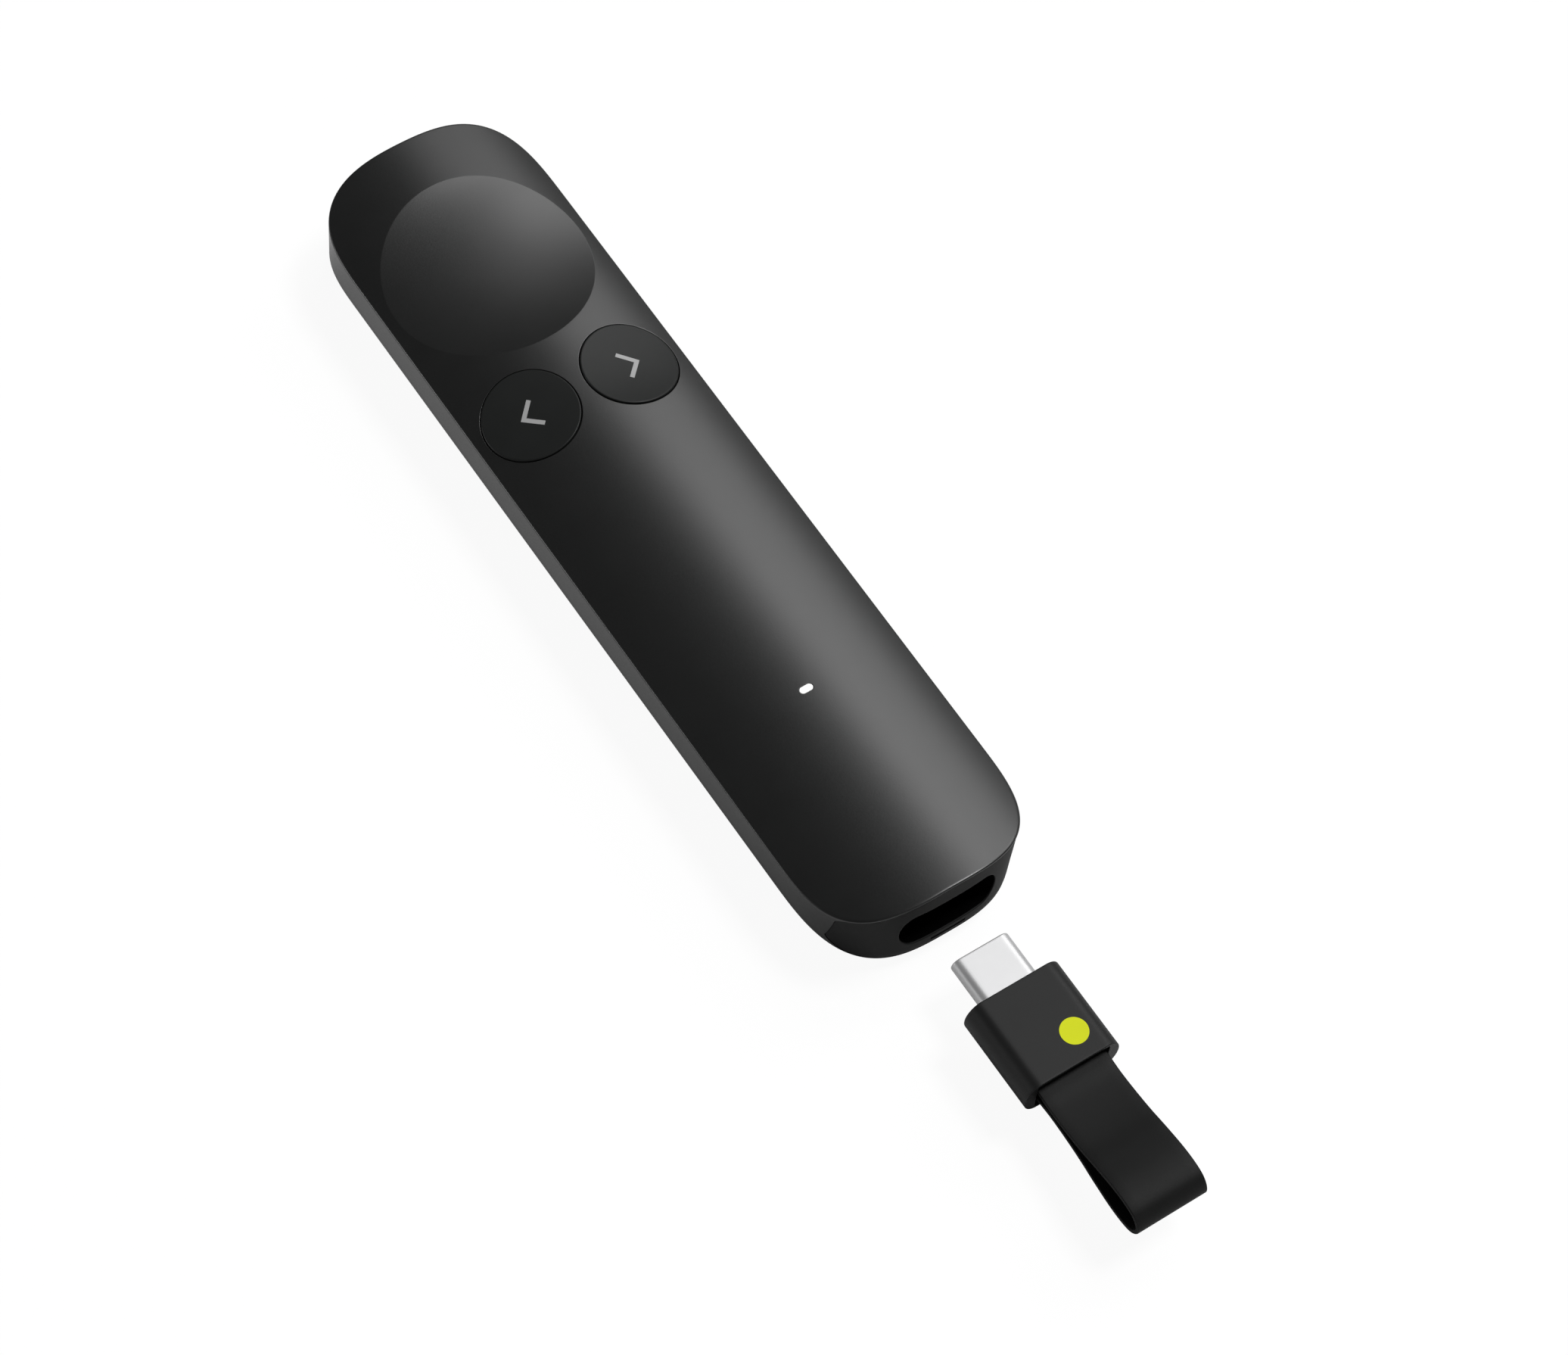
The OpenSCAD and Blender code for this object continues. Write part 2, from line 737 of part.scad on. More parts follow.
module button_mark(side) {
    color(mark_color)
        intersection() {
            mark_bar(side);
            difference() {
                crown_bar(-button_proud - mark_proud);
                crown_bar(mark_depth - button_proud);
            }
        }
}

module switch_plunger(side) {
    color(mark_color)
        translate([side * button_x, button_y, switch_top_z - plunger_depth])
            cylinder(r = plunger_r, h = plunger_top_z - switch_top_z + plunger_depth, $fn = small_fn);
}

module switch_body(side) {
    color(black_plastic)
        difference() {
            block([switch_w, switch_w, switch_h], side * button_x, button_y, board_top_z);
            translate([side * button_x, button_y, switch_top_z - plunger_hole_depth])
                cylinder(r = plunger_r + fine, h = switch_h, $fn = small_fn);
        }
}

module back_button() {
    button(-1);
}

module next_button() {
    button(1);
}

module back_button_mark() {
    button_mark(-1);
}

module next_button_mark() {
    button_mark(1);
}

module back_switch_plunger() {
    switch_plunger(-1);
}

module next_switch_plunger() {
    switch_plunger(1);
}

module back_switch_body() {
    switch_body(-1);
}

module next_switch_body() {
    switch_body(1);
}

module light_pipe() {
    color("white")
        intersection() {
            translate([0, light_y, 0]) {
                translate([0, 0, board_top_z + led_size[2] + loose])
                    linear_extrude(height = body_h)
                        pill_2d(light_l, light_w);
                translate([0, 0, light_collar_top_z - light_collar_t])
                    linear_extrude(height = light_collar_t)
                        pill_2d(light_l + 2 * light_collar, light_w + 2 * light_collar);
            }
            crown_bar(0);
        }
}

module status_led() {
    color("white")
        block(led_size, 0, light_y, board_top_z);
}

module main_board() {
    color(board_color)
        difference() {
            translate([0, 0, board_low_z])
                linear_extrude(height = board_t)
                    polygon(concat(
                        end_points(board_w / 2, board_head_round, board_power, board_head_y - board_head_round, 1),
                        [[board_w / 2, board_tail_y], [-board_w / 2, board_tail_y]]
                    ));
            translate([-board_cut_w / 2, board_tail_y - over, 0])
                cube([board_cut_w, receptacle_end_y + loose - board_tail_y + over, body_h]);
            boss_cylinders(screw_hole_r, 0, body_h);
        }
}

module board_screws() {
    color(metal_color)
        for (place = screw_places)
            translate([place[0], place[1], board_low_z]) {
                cylinder(r = screw_r, h = screw_l, $fn = small_fn);
                translate([0, 0, -screw_head_h])
                    cylinder(r = screw_head_r, h = screw_head_h, $fn = small_fn);
            }
}

module radio_chip() {
    color(black_plastic)
        block(radio_size, 0, radio_y, board_top_z);
}

module radio_shield() {
    color(metal_color)
        difference() {
            block(shield_size, 0, radio_y, board_top_z);
            block(shield_size - [2 * shield_t, 2 * shield_t, shield_t], 0, radio_y, board_top_z);
        }
}

module chip_antenna() {
    color(mark_color)
        block(antenna_size, antenna_x, board_tail_y + antenna_from_edge, board_top_z);
}

module touch_sensor() {
    color(brass_color)
        translate([0, dish_y, sensor_top_z - sensor_t])
            cylinder(r = sensor_r, h = sensor_t, $fn = curve_fn);
}

// A flat ribbon that comes off the touch sensor and turns down into its connector
module sensor_flex() {
    ribbon_top_z = sensor_top_z - sensor_t / 2;
    color(brass_color) {
        block([flex_w, flex_t, ribbon_top_z - board_top_z], 0, flex_y, board_top_z);
        block([flex_w, 2 * flex_t, flex_t], 0, flex_y + flex_t / 2, ribbon_top_z - flex_t);
    }
}

module flex_connector() {
    color(black_plastic)
        block(connector_size, 0, flex_y - flex_t / 2 - fine - connector_size[1] / 2, board_top_z);
}

module battery() {
    color(metal_color)
        block([battery_w, battery_l, battery_t], 0, battery_y, battery_low_z);
}

module battery_foam() {
    color(black_plastic)
        block([battery_w - 2 * foam_margin, battery_l - 2 * foam_margin, foam_t], 0, battery_y, floor_t);
}

module battery_lead() {
    lead_z = board_low_z - battery_connector_size[2] / 2 - lead_r;
    color("firebrick")
        for (side = [-1, 1])
            translate([side * lead_x, battery_head_y, lead_z])
                rotate([-90, 0, 0])
                    cylinder(r = lead_r, h = battery_connector_y - battery_head_y
                        - battery_connector_size[1] / 2, $fn = small_fn);
}

module battery_connector() {
    color("white")
        block(battery_connector_size, 0, battery_connector_y, board_low_z - battery_connector_size[2]);
}

module motor_cup() {
    color(metal_color)
        translate([0, motor_y, motor_low_z])
            difference() {
                cylinder(r = motor_r, h = motor_h, $fn = curve_fn);
                translate([0, 0, -over])
                    cylinder(r = motor_inner_r, h = motor_h - motor_wall + over, $fn = curve_fn);
            }
}

module motor_base() {
    color(mark_color)
        translate([0, motor_y, motor_low_z])
            difference() {
                cylinder(r = motor_inner_r - fine, h = motor_base_t, $fn = curve_fn);
                translate([0, 0, -over])
                    cylinder(r = motor_shaft_r + tight, h = motor_base_t + 2 * over, $fn = small_fn);
            }
}

module motor_shaft() {
    color(metal_color)
        translate([0, motor_y, motor_low_z])
            cylinder(r = motor_shaft_r, h = motor_h - motor_wall - fine, $fn = small_fn);
}

// The weight fills one half of the case, so it shakes the motor as it turns
module motor_rotor() {
    color(brass_color)
        translate([0, motor_y, rotor_low_z])
            difference() {
                union() {
                    cylinder(r = rotor_hub_r, h = motor_weight_t, $fn = small_fn);
                    intersection() {
                        cylinder(r = rotor_r, h = motor_weight_t, $fn = curve_fn);
                        translate([-motor_r, 0, 0])
                            cube([2 * motor_r, motor_r, motor_weight_t]);
                    }
                }
                translate([0, 0, -over])
                    cylinder(r = rotor_bore_r, h = motor_weight_t + 2 * over, $fn = small_fn);
            }
}

module motor_lead() {
    lead_z = motor_low_z + motor_h / 2;
    color("royalblue")
        for (side = [-1, 1])
            translate([side * lead_x, motor_lead_y, lead_z]) {
                cylinder(r = lead_r, h = board_low_z - lead_z, $fn = small_fn);
                sphere(r = lead_r, $fn = small_fn);
                rotate([-90, 0, 0])
                    cylinder(r = lead_r, h = motor_y - motor_r - fine - motor_lead_y, $fn = small_fn);
            }
}

module usb_receptacle_shell() {
    color(metal_color)
        difference() {
            dock_pill(receptacle_out_w, receptacle_out_h, pocket_end_y, receptacle_end_y);
            dock_pill(receptacle_in_w, receptacle_in_h, pocket_end_y - over, receptacle_end_y + over);
        }
}

module usb_receptacle_tongue() {
    color(black_plastic) {
        dock_pill(receptacle_in_w - 2 * fine, receptacle_in_h - 2 * fine, receptacle_block_y, receptacle_end_y);
        block([tongue_w, tongue_l, tongue_t], 0, receptacle_block_y - tongue_l / 2, dock_z - tongue_t / 2);
    }
}

module receiver_housing() {
    mouth_end_y = head_rear_y + strap_mouth_l;
    cavity_y0 = mouth_end_y + head_partition_t;
    dot_floor_z = dock_z + head_h / 2 - dot_t;
    color(dark_color)
        difference() {
            head_bar(head_w, head_h, head_side_r, head_rear_y, head_front_y);
            head_bar(head_w - 2 * head_wall, head_h - 2 * head_wall, head_side_r - head_wall / 2,
                cavity_y0, head_front_y - head_wall);
            dock_pill(plug_w + 2 * fine, plug_h + 2 * fine, head_front_y - head_wall - over, head_front_y + over);
            block([strap_mouth_w, strap_mouth_l + over, strap_mouth_h], 0,
                (head_rear_y - over + mouth_end_y) / 2, dock_z - strap_mouth_h / 2);
            translate([0, strap_pin_y, dock_z])
                rotate([0, 90, 0])
                    cylinder(r = strap_pin_r + 2 * tight, h = strap_pin_l + 2 * fine, center = true, $fn = small_fn);
            translate([dot_x, head_rear_y + dot_from_rear, dot_floor_z])
                cylinder(r = dot_r, h = body_h, $fn = curve_fn);
        }
}

module receiver_board() {
    color(board_color)
        block(receiver_board_size, 0,
            head_front_y - plug_root_l - fine - receiver_board_size[1] / 2, dock_z - receiver_board_size[2] / 2);
}

module usb_plug_shell() {
    color(metal_color)
        difference() {
            dock_pill(plug_w, plug_h, head_front_y - plug_root_l, plug_tip_y);
            dock_pill(plug_w - 2 * plug_wall, plug_h - 2 * plug_wall, head_front_y - plug_root_l - over,
                plug_tip_y + over);
        }
}

module usb_plug_insert() {
    insert_w = plug_w - 2 * plug_wall - 2 * tight;
    insert_h = plug_h - 2 * plug_wall - 2 * tight;
    color(black_plastic)
        difference() {
            dock_pill(insert_w, insert_h, head_front_y - plug_root_l, plug_tip_y - plug_lip);
            block([plug_slot_w, plug_slot_l + over, plug_slot_h], 0,
                plug_tip_y - (plug_slot_l - over) / 2, dock_z - plug_slot_h / 2);
        }
}

// A point on the smooth curve through a, b, c and d, at share t of the way from b to c
function spline_point(a, b, c, d, t) =
    b + t * (c - a) / 2 + t * t * (a - 2.5 * b + 2 * c - d / 2) + t * t * t * (1.5 * (b - c) + (d - a) / 2);

// The middle line of the whole strap: round the pin, out along the top, and back below
function strap_middle() =
    let (end_y = head_rear_y - strap_l)
    let (turn_r = strap_pin_r + fine + strap_t / 2)
    let (length = strap_pin_y - end_y - strap_t / 2)
    let (half_h = (strap_loop_h - strap_t) / 2)
    let (top = [for (p = strap_half) [strap_pin_y - p[0] * length, p[1] * half_h]])
    let (flip = [for (i = [len(top) - 1 : -1 : 0]) [top[i][0], -top[i][1]]])
    concat(
        [for (a = [-90 : 30 : 90]) [strap_pin_y + turn_r * cos(a), turn_r * sin(a)]],
        top, [[end_y + strap_t / 2, 0]], flip
    );

// The middle line made smooth, and the same line moved out by side
function strap_smooth(m) =
    let (n = len(m))
    [for (i = [0 : n - 1]) for (k = [0 : strap_spline_steps - 1])
        spline_point(m[i], m[(i + 1) % n], m[(i + 2) % n], m[(i + 3) % n], k / strap_spline_steps)];
function strap_side(s, side) =
    let (n = len(s))
    [for (i = [0 : n - 1])
        let (way = s[(i + 1) % n] - s[(i + n - 1) % n])
        s[i] + side * [way[1], -way[0]] / norm(way)];

module strap() {
    smooth = strap_smooth(strap_middle());
    color(dark_color)
        translate([-strap_w / 2, 0, dock_z])
            rotate([90, 0, 90])
                linear_extrude(height = strap_w, convexity = 6)
                    difference() {
                        polygon(strap_side(smooth, strap_t / 2));
                        polygon(strap_side(smooth, -strap_t / 2));
                    }
}

module strap_pin() {
    color(metal_color)
        translate([0, strap_pin_y, dock_z])
            rotate([0, 90, 0])
                cylinder(r = strap_pin_r, h = strap_pin_l, center = true, $fn = small_fn);
}

module accent_dot() {
    color(accent_color)
        translate([dot_x, head_rear_y + dot_from_rear, dock_z + head_h / 2 - dot_t])
            cylinder(r = dot_r - tight, h = dot_t + dot_proud, $fn = curve_fn);
}

upper_shell();
bottom_cover();
tail_cap();
pocket_liner();
back_button();
back_button_mark();
back_switch_plunger();
back_switch_body();
next_button();
next_button_mark();
next_switch_plunger();
next_switch_body();
light_pipe();
status_led();
main_board();
board_screws();
radio_chip();
radio_shield();
chip_antenna();
touch_sensor();
sensor_flex();
flex_connector();
battery();
battery_foam();
battery_lead();
battery_connector();
motor_cup();
motor_base();
motor_shaft();
motor_rotor();
motor_lead();
usb_receptacle_shell();
usb_receptacle_tongue();
receiver_housing();
receiver_board();
usb_plug_shell();
usb_plug_insert();
strap();
strap_pin();
accent_dot();
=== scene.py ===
"""The looks of the presentation clicker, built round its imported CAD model.
The shared frame is in metres. The sizes below are in millimetres, and repeat the CAD's own where it has
them."""

import math

import bmesh
import bpy
import numpy as np
from mathutils import Matrix, Vector
from mathutils.geometry import delaunay_2d_cdt


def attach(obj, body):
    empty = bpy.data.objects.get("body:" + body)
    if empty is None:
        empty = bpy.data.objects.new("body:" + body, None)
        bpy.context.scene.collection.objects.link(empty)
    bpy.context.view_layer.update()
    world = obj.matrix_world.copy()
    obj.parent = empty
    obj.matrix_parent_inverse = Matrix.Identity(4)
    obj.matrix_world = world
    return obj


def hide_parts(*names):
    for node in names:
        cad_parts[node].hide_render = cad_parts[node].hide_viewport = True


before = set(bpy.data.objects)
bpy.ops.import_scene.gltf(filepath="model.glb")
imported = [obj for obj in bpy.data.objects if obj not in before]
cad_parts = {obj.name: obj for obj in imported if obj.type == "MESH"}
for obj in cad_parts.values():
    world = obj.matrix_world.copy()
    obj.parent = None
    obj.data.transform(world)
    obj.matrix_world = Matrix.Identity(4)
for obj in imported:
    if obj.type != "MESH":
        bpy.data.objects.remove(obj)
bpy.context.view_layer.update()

# ---------------------------------------------------------------- sizes, in mm
BODY_W, BODY_L, BODY_H = 30.0, 125.5, 14.0
CROWN_RISE, SIDE_LEAN, END_LEAN, KNUCKLE_Z = 3.35, 0.85, 0.48, 3.2
HEAD_ROUND, HEAD_ROUND_LOW, HEAD_POWER = 16.1, 12.8, 3.36
TAIL_ROUND, TAIL_ROUND_LOW, TAIL_POWER = 15.0, 16.8, 3.03
WALL_T, ROOF_T, FLOOR_T, PARTING_Z = 1.2, 1.3, 1.2, 2.4
HEAD_Y, TAIL_Y = BODY_L / 2, -BODY_L / 2
KNUCKLE_W = BODY_W - 2 * SIDE_LEAN
CROWN_R = ((BODY_W / 2) ** 2 + CROWN_RISE**2) / (2 * CROWN_RISE)
CROWN_AXIS_Z = BODY_H - CROWN_R
SEAM, SEAM_EDGE = 0.035, 0.06  # half of the fine gap at the parting line, and the round beside it
WINDOW_EDGE = 0.05  # round of the tail window's edge
EDGE = 0.25  # round of the top edge
TAIL_EDGE, TAIL_DROP = 0.36, 0.2  # how far it reaches in and down at the tail
TAIL_EDGE_START, TAIL_EDGE_RUN = 14.0, 8.0  # it starts to widen this far from the end, over this length
CROWN_RIM, HOLE_RIM = 0.1, 0.06  # ring widths beside the crown's edge, and beside holes and the tail cap

DISH_R, DISH_Y, DISH_DEPTH, DISH_SOFT = 13.59, HEAD_Y - 21.43, 1.4, 0.025
DISH_REACH = 1.2  # how far past its rim the dish is worked out
DISH_STEPS, DISH_RIM_RINGS = 360, (-0.4, -0.18, -0.08, -0.03, 0, 0.03, 0.08, 0.18, 0.4)

BUTTON_R, BUTTON_X, BUTTON_Y = 6.24, 7.27, HEAD_Y - 43.24
BUTTON_GAP, BUTTON_PROUD, BUTTON_SINK, BUTTON_EDGE = 0.13, 0.2, 0.33, 0.2
HOLE_R, HOLE_EDGE = BUTTON_R + BUTTON_GAP, 0.07
BUTTON_LEDGE, BUTTON_LEDGE_DROP, BUTTON_SKIRT_X, BUTTON_LOW_Z = 0.7, 0.35, 13.25, 8.9
BUTTON_HOLLOW_R, BUTTON_HOLLOW_Z, BUTTON_POST_R, BUTTON_POST_Z = 5.2, 10.9, 1.1, 10.06
BUTTON_STEPS = 120  # points round a button and round its hole
MARK_ARM, MARK_STROKE, MARK_TIP = 3.02, 0.58, 1.5
MARK_PROUD, MARK_ROOT = 0.012, -0.2  # the mark's top and foot, from the button's top

LIGHT_Y, LIGHT_L, LIGHT_W = TAIL_Y + 31.5, 1.77, 0.9
LIGHT_GAP, LIGHT_EDGE = 0.05, 0.06

DOCK_Z = 7.6
CAP_W, CAP_RECESS, CAP_T, LIP_T, CAP_GAP = 26.6, 0.05, 1.75, 0.3, 0.1
CAP_ROUND, CAP_LOW_ROUND, CAP_EDGE = 1.6, 2.0, 0.07
SLOT_EDGE, NOTCH_EDGE = 0.14, 0.03  # rounds of the slot's and the notch's mouths
SHADE_SLEEVE_START, SHADE_SLEEVE_T = 0.2, 0.3  # the near-black sleeve that paints the shade inside the slot: how deep it starts, and its thickness
WINDOW_W = 27.2  # between the wall's columns beside the tail window
WINDOW_DEPTH = CAP_RECESS + CAP_T + CAP_GAP
INNER_EDGE_A = math.radians(15)  # tail angle at which the wall's inner side ends
COLLAR_END_Y, COLLAR_WALL = -59.784, 0.8
SLOT_W, SLOT_H, SLOT_SIDE_R = 13.94, 6.44, 2.27
NOTCH_W, NOTCH_H, NOTCH_RISE, NOTCH_DEPTH = 5.0, 0.45, 0.8, 1.5

HEAD_W, HEAD_H, HEAD_SIDE_R = 13.6, 6.1, 2.1
HEAD_EDGE, HEAD_RIM, MOUTH_EDGE, MOUTH_RIM, MOUTH_CORNER_R = 0.13, 0.08, 0.1, 0.05, 0.35
REAR_Y, FRONT_Y = -88.334, -75.704
MOUTH_W, MOUTH_H, MOUTH_L = 10.3, 5.2, 3.4
PLUG_W, PLUG_H, PLUG_WALL, PLUG_TIP_Y = 8.25, 2.4, 0.3, -69.004
PLUG_EDGE, PLUG_BEVEL_W, PLUG_BEVEL_L = 0.22, 0.02, 0.03
PLUG_ROOT_L, PLUG_HOLE_L, PLUG_PLAY = 0.85, 0.9, 0.1
STRAP_W, STRAP_T, STRAP_L, STRAP_LOOP_H = 10.0, 0.6, 20.3, 5.2
STRAP_EDGE = 0.16
PIN_R, PIN_Y = 0.6, REAR_Y + 1.7


# ---------------------------------------------------------------- mesh building
class Skin:
    """Points in mm and faces between them, made into one object."""

    def __init__(self):
        self.points, self.faces = [], []

    def ring(self, points):
        """Adds points; gives their numbers."""
        first = len(self.points)
        self.points.extend(tuple(float(c) for c in p) for p in points)
        return list(range(first, len(self.points)))

    def strip(self, a, b, closed=True):
        """Quads between two rows of the same length."""
        n = len(a)
        for i in range(n if closed else n - 1):
            j = (i + 1) % n
            self.faces.append((a[i], a[j], b[j], b[i]))

    def loft(self, rings, closed=True):
        made = [self.ring(r) for r in rings]
        for a, b in zip(made, made[1:]):
            self.strip(a, b, closed)
        return made

    def face(self, points):
        self.faces.append(tuple(self.ring(points)))

    def zipped(self, a, b, key_a, key_b):
        """Triangles between two open rows of different lengths, whose keys rise along them."""
        i = j = 0
        while i < len(a) - 1 or j < len(b) - 1:
            if j == len(b) - 1 or (i < len(a) - 1 and key_a[i + 1] <= key_b[j + 1]):
                self.faces.append((a[i], a[i + 1], b[j]))
                i += 1
            else:
                self.faces.append((a[i], b[j + 1], b[j]))
                j += 1

    def fill(self, loops, inner, lift, fixed=()):
        """The area inside loops[0] and outside the others, over plane points, lifted into place by
        lift(u, v). The first points of the loops may be fixed in 3D."""
        flat, edges = [], []
        for loop in loops:
            first = len(flat)
            flat.extend(Vector((float(u), float(v))) for u, v in loop)
            edges.extend((first + i, first + (i + 1) % len(loop)) for i in range(len(loop)))
        flat.extend(Vector((float(u), float(v))) for u, v in inner)
        found, _, tris, sources, *_ = delaunay_2d_cdt(flat, edges, [], 0, 1e-6)
        uv = np.array([(p.x, p.y) for p in found])
        tris = np.array([t for t in tris if len(t) == 3])
        centres = uv[tris].mean(axis=1)
        keep = inside(loops[0], centres)
        for loop in loops[1:]:
            keep &= ~inside(loop, centres)
        a, b, c = (uv[tris[:, k]] for k in range(3))
        area = np.abs((b - a)[:, 0] * (c - a)[:, 1] - (b - a)[:, 1] * (c - a)[:, 0])
        keep &= area > 1e-5
        first = len(self.points)
        self.ring(lift(uv[:, 0], uv[:, 1]))
        for k, source in enumerate(sources):
            if source and min(source) < len(fixed):
                self.points[first + k] = tuple(float(c) for c in fixed[min(source)])
        self.faces.extend(tuple(int(first + k) for k in t) for t in tris[keep])

    def build(self, name, material, body, nodes, angle=34):
        """The finished piece, which rides on body and replaces the CAD nodes."""
        mesh = bpy.data.meshes.new(name)
        mesh.from_pydata([(x / 1000, y / 1000, z / 1000) for x, y, z in self.points], [], self.faces)
        work = bmesh.new()
        work.from_mesh(mesh)
        bmesh.ops.remove_doubles(work, verts=work.verts, dist=1.5e-6)
        loose = [v for v in work.verts if not v.link_faces]
        bmesh.ops.delete(work, geom=loose, context="VERTS")
        bmesh.ops.recalc_face_normals(work, faces=work.faces)
        if work.calc_volume(signed=True) < 0:
            bmesh.ops.reverse_faces(work, faces=work.faces)
        open_edges = sum(1 for e in work.edges if len(e.link_faces) != 2)
        print(f"{name}: {len(work.faces)} faces, {open_edges} open edges")
        work.to_mesh(mesh)
        work.free()
        mesh.shade_smooth()
        mesh.set_sharp_from_angle(angle=math.radians(angle))
        mesh.materials.append(material)
        made = bpy.data.objects.new(name, mesh)
        bpy.context.scene.collection.objects.link(made)
        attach(made, body)
        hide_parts(*nodes)


def inside(loop, points):
    """Whether each point lies inside a closed plane loop."""
    loop = np.asarray(loop, float)
    u, v = points[:, 0][:, None], points[:, 1][:, None]
    a, b = loop, np.roll(loop, -1, axis=0)
    between = (a[:, 1] > v) != (b[:, 1] > v)
    rise = np.where(b[:, 1] == a[:, 1], 1e-12, b[:, 1] - a[:, 1])
    return (between & (u < (b[:, 0] - a[:, 0]) * (v - a[:, 1]) / rise + a[:, 0])).sum(axis=1) % 2 == 1


def grid(u0, u1, v0, v1, du, dv):
    """Plane points about du and dv apart."""
    us = np.linspace(u0, u1, max(2, int(round((u1 - u0) / du)) + 1))
    vs = np.linspace(v0, v1, max(2, int(round((v1 - v0) / dv)) + 1))
    return np.array([(u, v) for u in us for v in vs])


def bezier(a, corner, b, steps):
    """Rings from a to b, rounded off under their common corner, both ends included."""
    a, corner, b = (np.asarray(p, float) for p in (a, corner, b))
    return [(1 - s) ** 2 * a + 2 * s * (1 - s) * corner + s * s * b for s in np.linspace(0, 1, steps + 1)]


def circle(cx, cy, r, n):
    a = np.linspace(0, 2 * math.pi, n, endpoint=False)
    return np.stack([cx + r * np.cos(a), cy + r * np.sin(a)], axis=1)


def pill(w, h, n, cx=0.0, cy=0.0):
    """A closed loop with half-round ends, w along the first axis."""
    a = np.linspace(-math.pi / 2, math.pi / 2, n)
    right = np.stack([cx + (w - h) / 2 + h / 2 * np.cos(a), cy + h / 2 * np.sin(a)], axis=1)
    left = np.stack([cx - (w - h) / 2 - h / 2 * np.cos(a), cy - h / 2 * np.sin(a)], axis=1)
    flat = [(1 - s) * right[-1] + s * left[0] for s in np.linspace(0, 1, n)[1:-1]]
    back = [(1 - s) * left[-1] + s * right[0] for s in np.linspace(0, 1, n)[1:-1]]
    return np.concatenate([right, flat, left, back])


def rounded_corners(w, h, r, n):
    """The four corners of a rectangle of half sizes w and h, rounded by r, with n points each."""
    corners = []
    for k, (sx, sz) in enumerate(((1, 1), (-1, 1), (-1, -1), (1, -1))):
        turn = np.linspace(k * math.pi / 2, (k + 1) * math.pi / 2, n)
        corners.append([(sx * (w - r) + r * math.cos(t), sz * (h - r) + r * math.sin(t)) for t in turn])
    return corners


def across(loop, y):
    """Points given in X and Z, set at y."""
    return np.column_stack([loop[:, 0], np.full(len(loop), y), loop[:, 1]])


# ---------------------------------------------------------------- the body's form
def crown_z(x):
    return CROWN_AXIS_Z + np.sqrt(CROWN_R**2 - np.asarray(x, float) ** 2)


def dish_drop(x, y):
    """How far the dish lies below the crown, with its rim softened."""
    r = np.hypot(x, np.asarray(y, float) - DISH_Y)
    raw = DISH_DEPTH * (1 - (r / DISH_R) ** 2)
    soft = DISH_SOFT * 2 * DISH_DEPTH / DISH_R
    return 0.5 * (raw + np.sqrt(raw**2 + soft**2)) * (np.abs(r) < DISH_R + DISH_REACH)


def top_z(x, y):
    return crown_z(x) - dish_drop(x, y)


def round_inset(z):
    """How far the underside's round lies in from the knuckle at height z."""
    return KNUCKLE_Z * (1 - math.sqrt(max(0.0, 1 - (1 - z / KNUCKLE_Z) ** 2)))


def end_outline(a, low, inset, way):
    """Plan points of the rounded head (way 1) or tail (way -1), on the top edge or, low, on the knuckle."""
    half = (KNUCKLE_W if low else BODY_W) / 2 - inset
    out = END_LEAN if low else 0.0
    if way > 0:
        depth, power = (HEAD_ROUND_LOW if low else HEAD_ROUND) - inset, HEAD_POWER
        y0 = HEAD_Y + out - inset - depth
    else:
        depth, power = (TAIL_ROUND_LOW if low else TAIL_ROUND) - inset, TAIL_POWER
        y0 = TAIL_Y - out + inset + depth
    c, s = np.cos(a), np.abs(np.sin(a))
    x = -way * half * np.sign(c) * np.abs(c) ** (2 / power)
    return np.stack([x, y0 + way * depth * s ** (2 / power)], axis=-1)


def even_angles(way, step):
    """Angles that put the points of an end about evenly along its outline."""
    a = np.linspace(0, math.pi, 20001)
    p = end_outline(a, False, 0, way)
    run = np.concatenate([[0], np.cumsum(np.hypot(*np.diff(p, axis=0).T))])
    return np.interp(np.linspace(0, run[-1], int(run[-1] / step) // 2 * 2 + 1), run, a)


def window_angle(half_w, low):
    """The tail angle, from the right-hand side, at which the outline's x is half_w."""
    half = (KNUCKLE_W if low else BODY_W) / 2
    return math.acos((half_w / half) ** (TAIL_POWER / 2))


HEAD_A = even_angles(1, 0.55)
SIDE_STEPS = 56
WALL_SHARES = (0.05, 0.12, 0.25, 0.4, 0.55, 0.7, 0.85, 1.0)  # levels from the top edge to the knuckle
SHELL_HEIGHTS = (3.0, 2.8, 2.65)  # levels of the underside's round, above the parting line and below it
COVER_HEIGHTS = (2.1, 1.9, 1.6, 1.3, 1.0, 0.75, 0.5, 0.3, 0.15, 0.05, 0.0)
WINDOW_TOP, WINDOW_LOW = window_angle(WINDOW_W / 2, False), window_angle(WINDOW_W / 2, True)
CORNER = np.linspace(0, 1, 24)  # shares of a tail corner, from the side to the window
WINDOW = np.linspace(0, 1, 65)  # shares of the window, from its right to its left


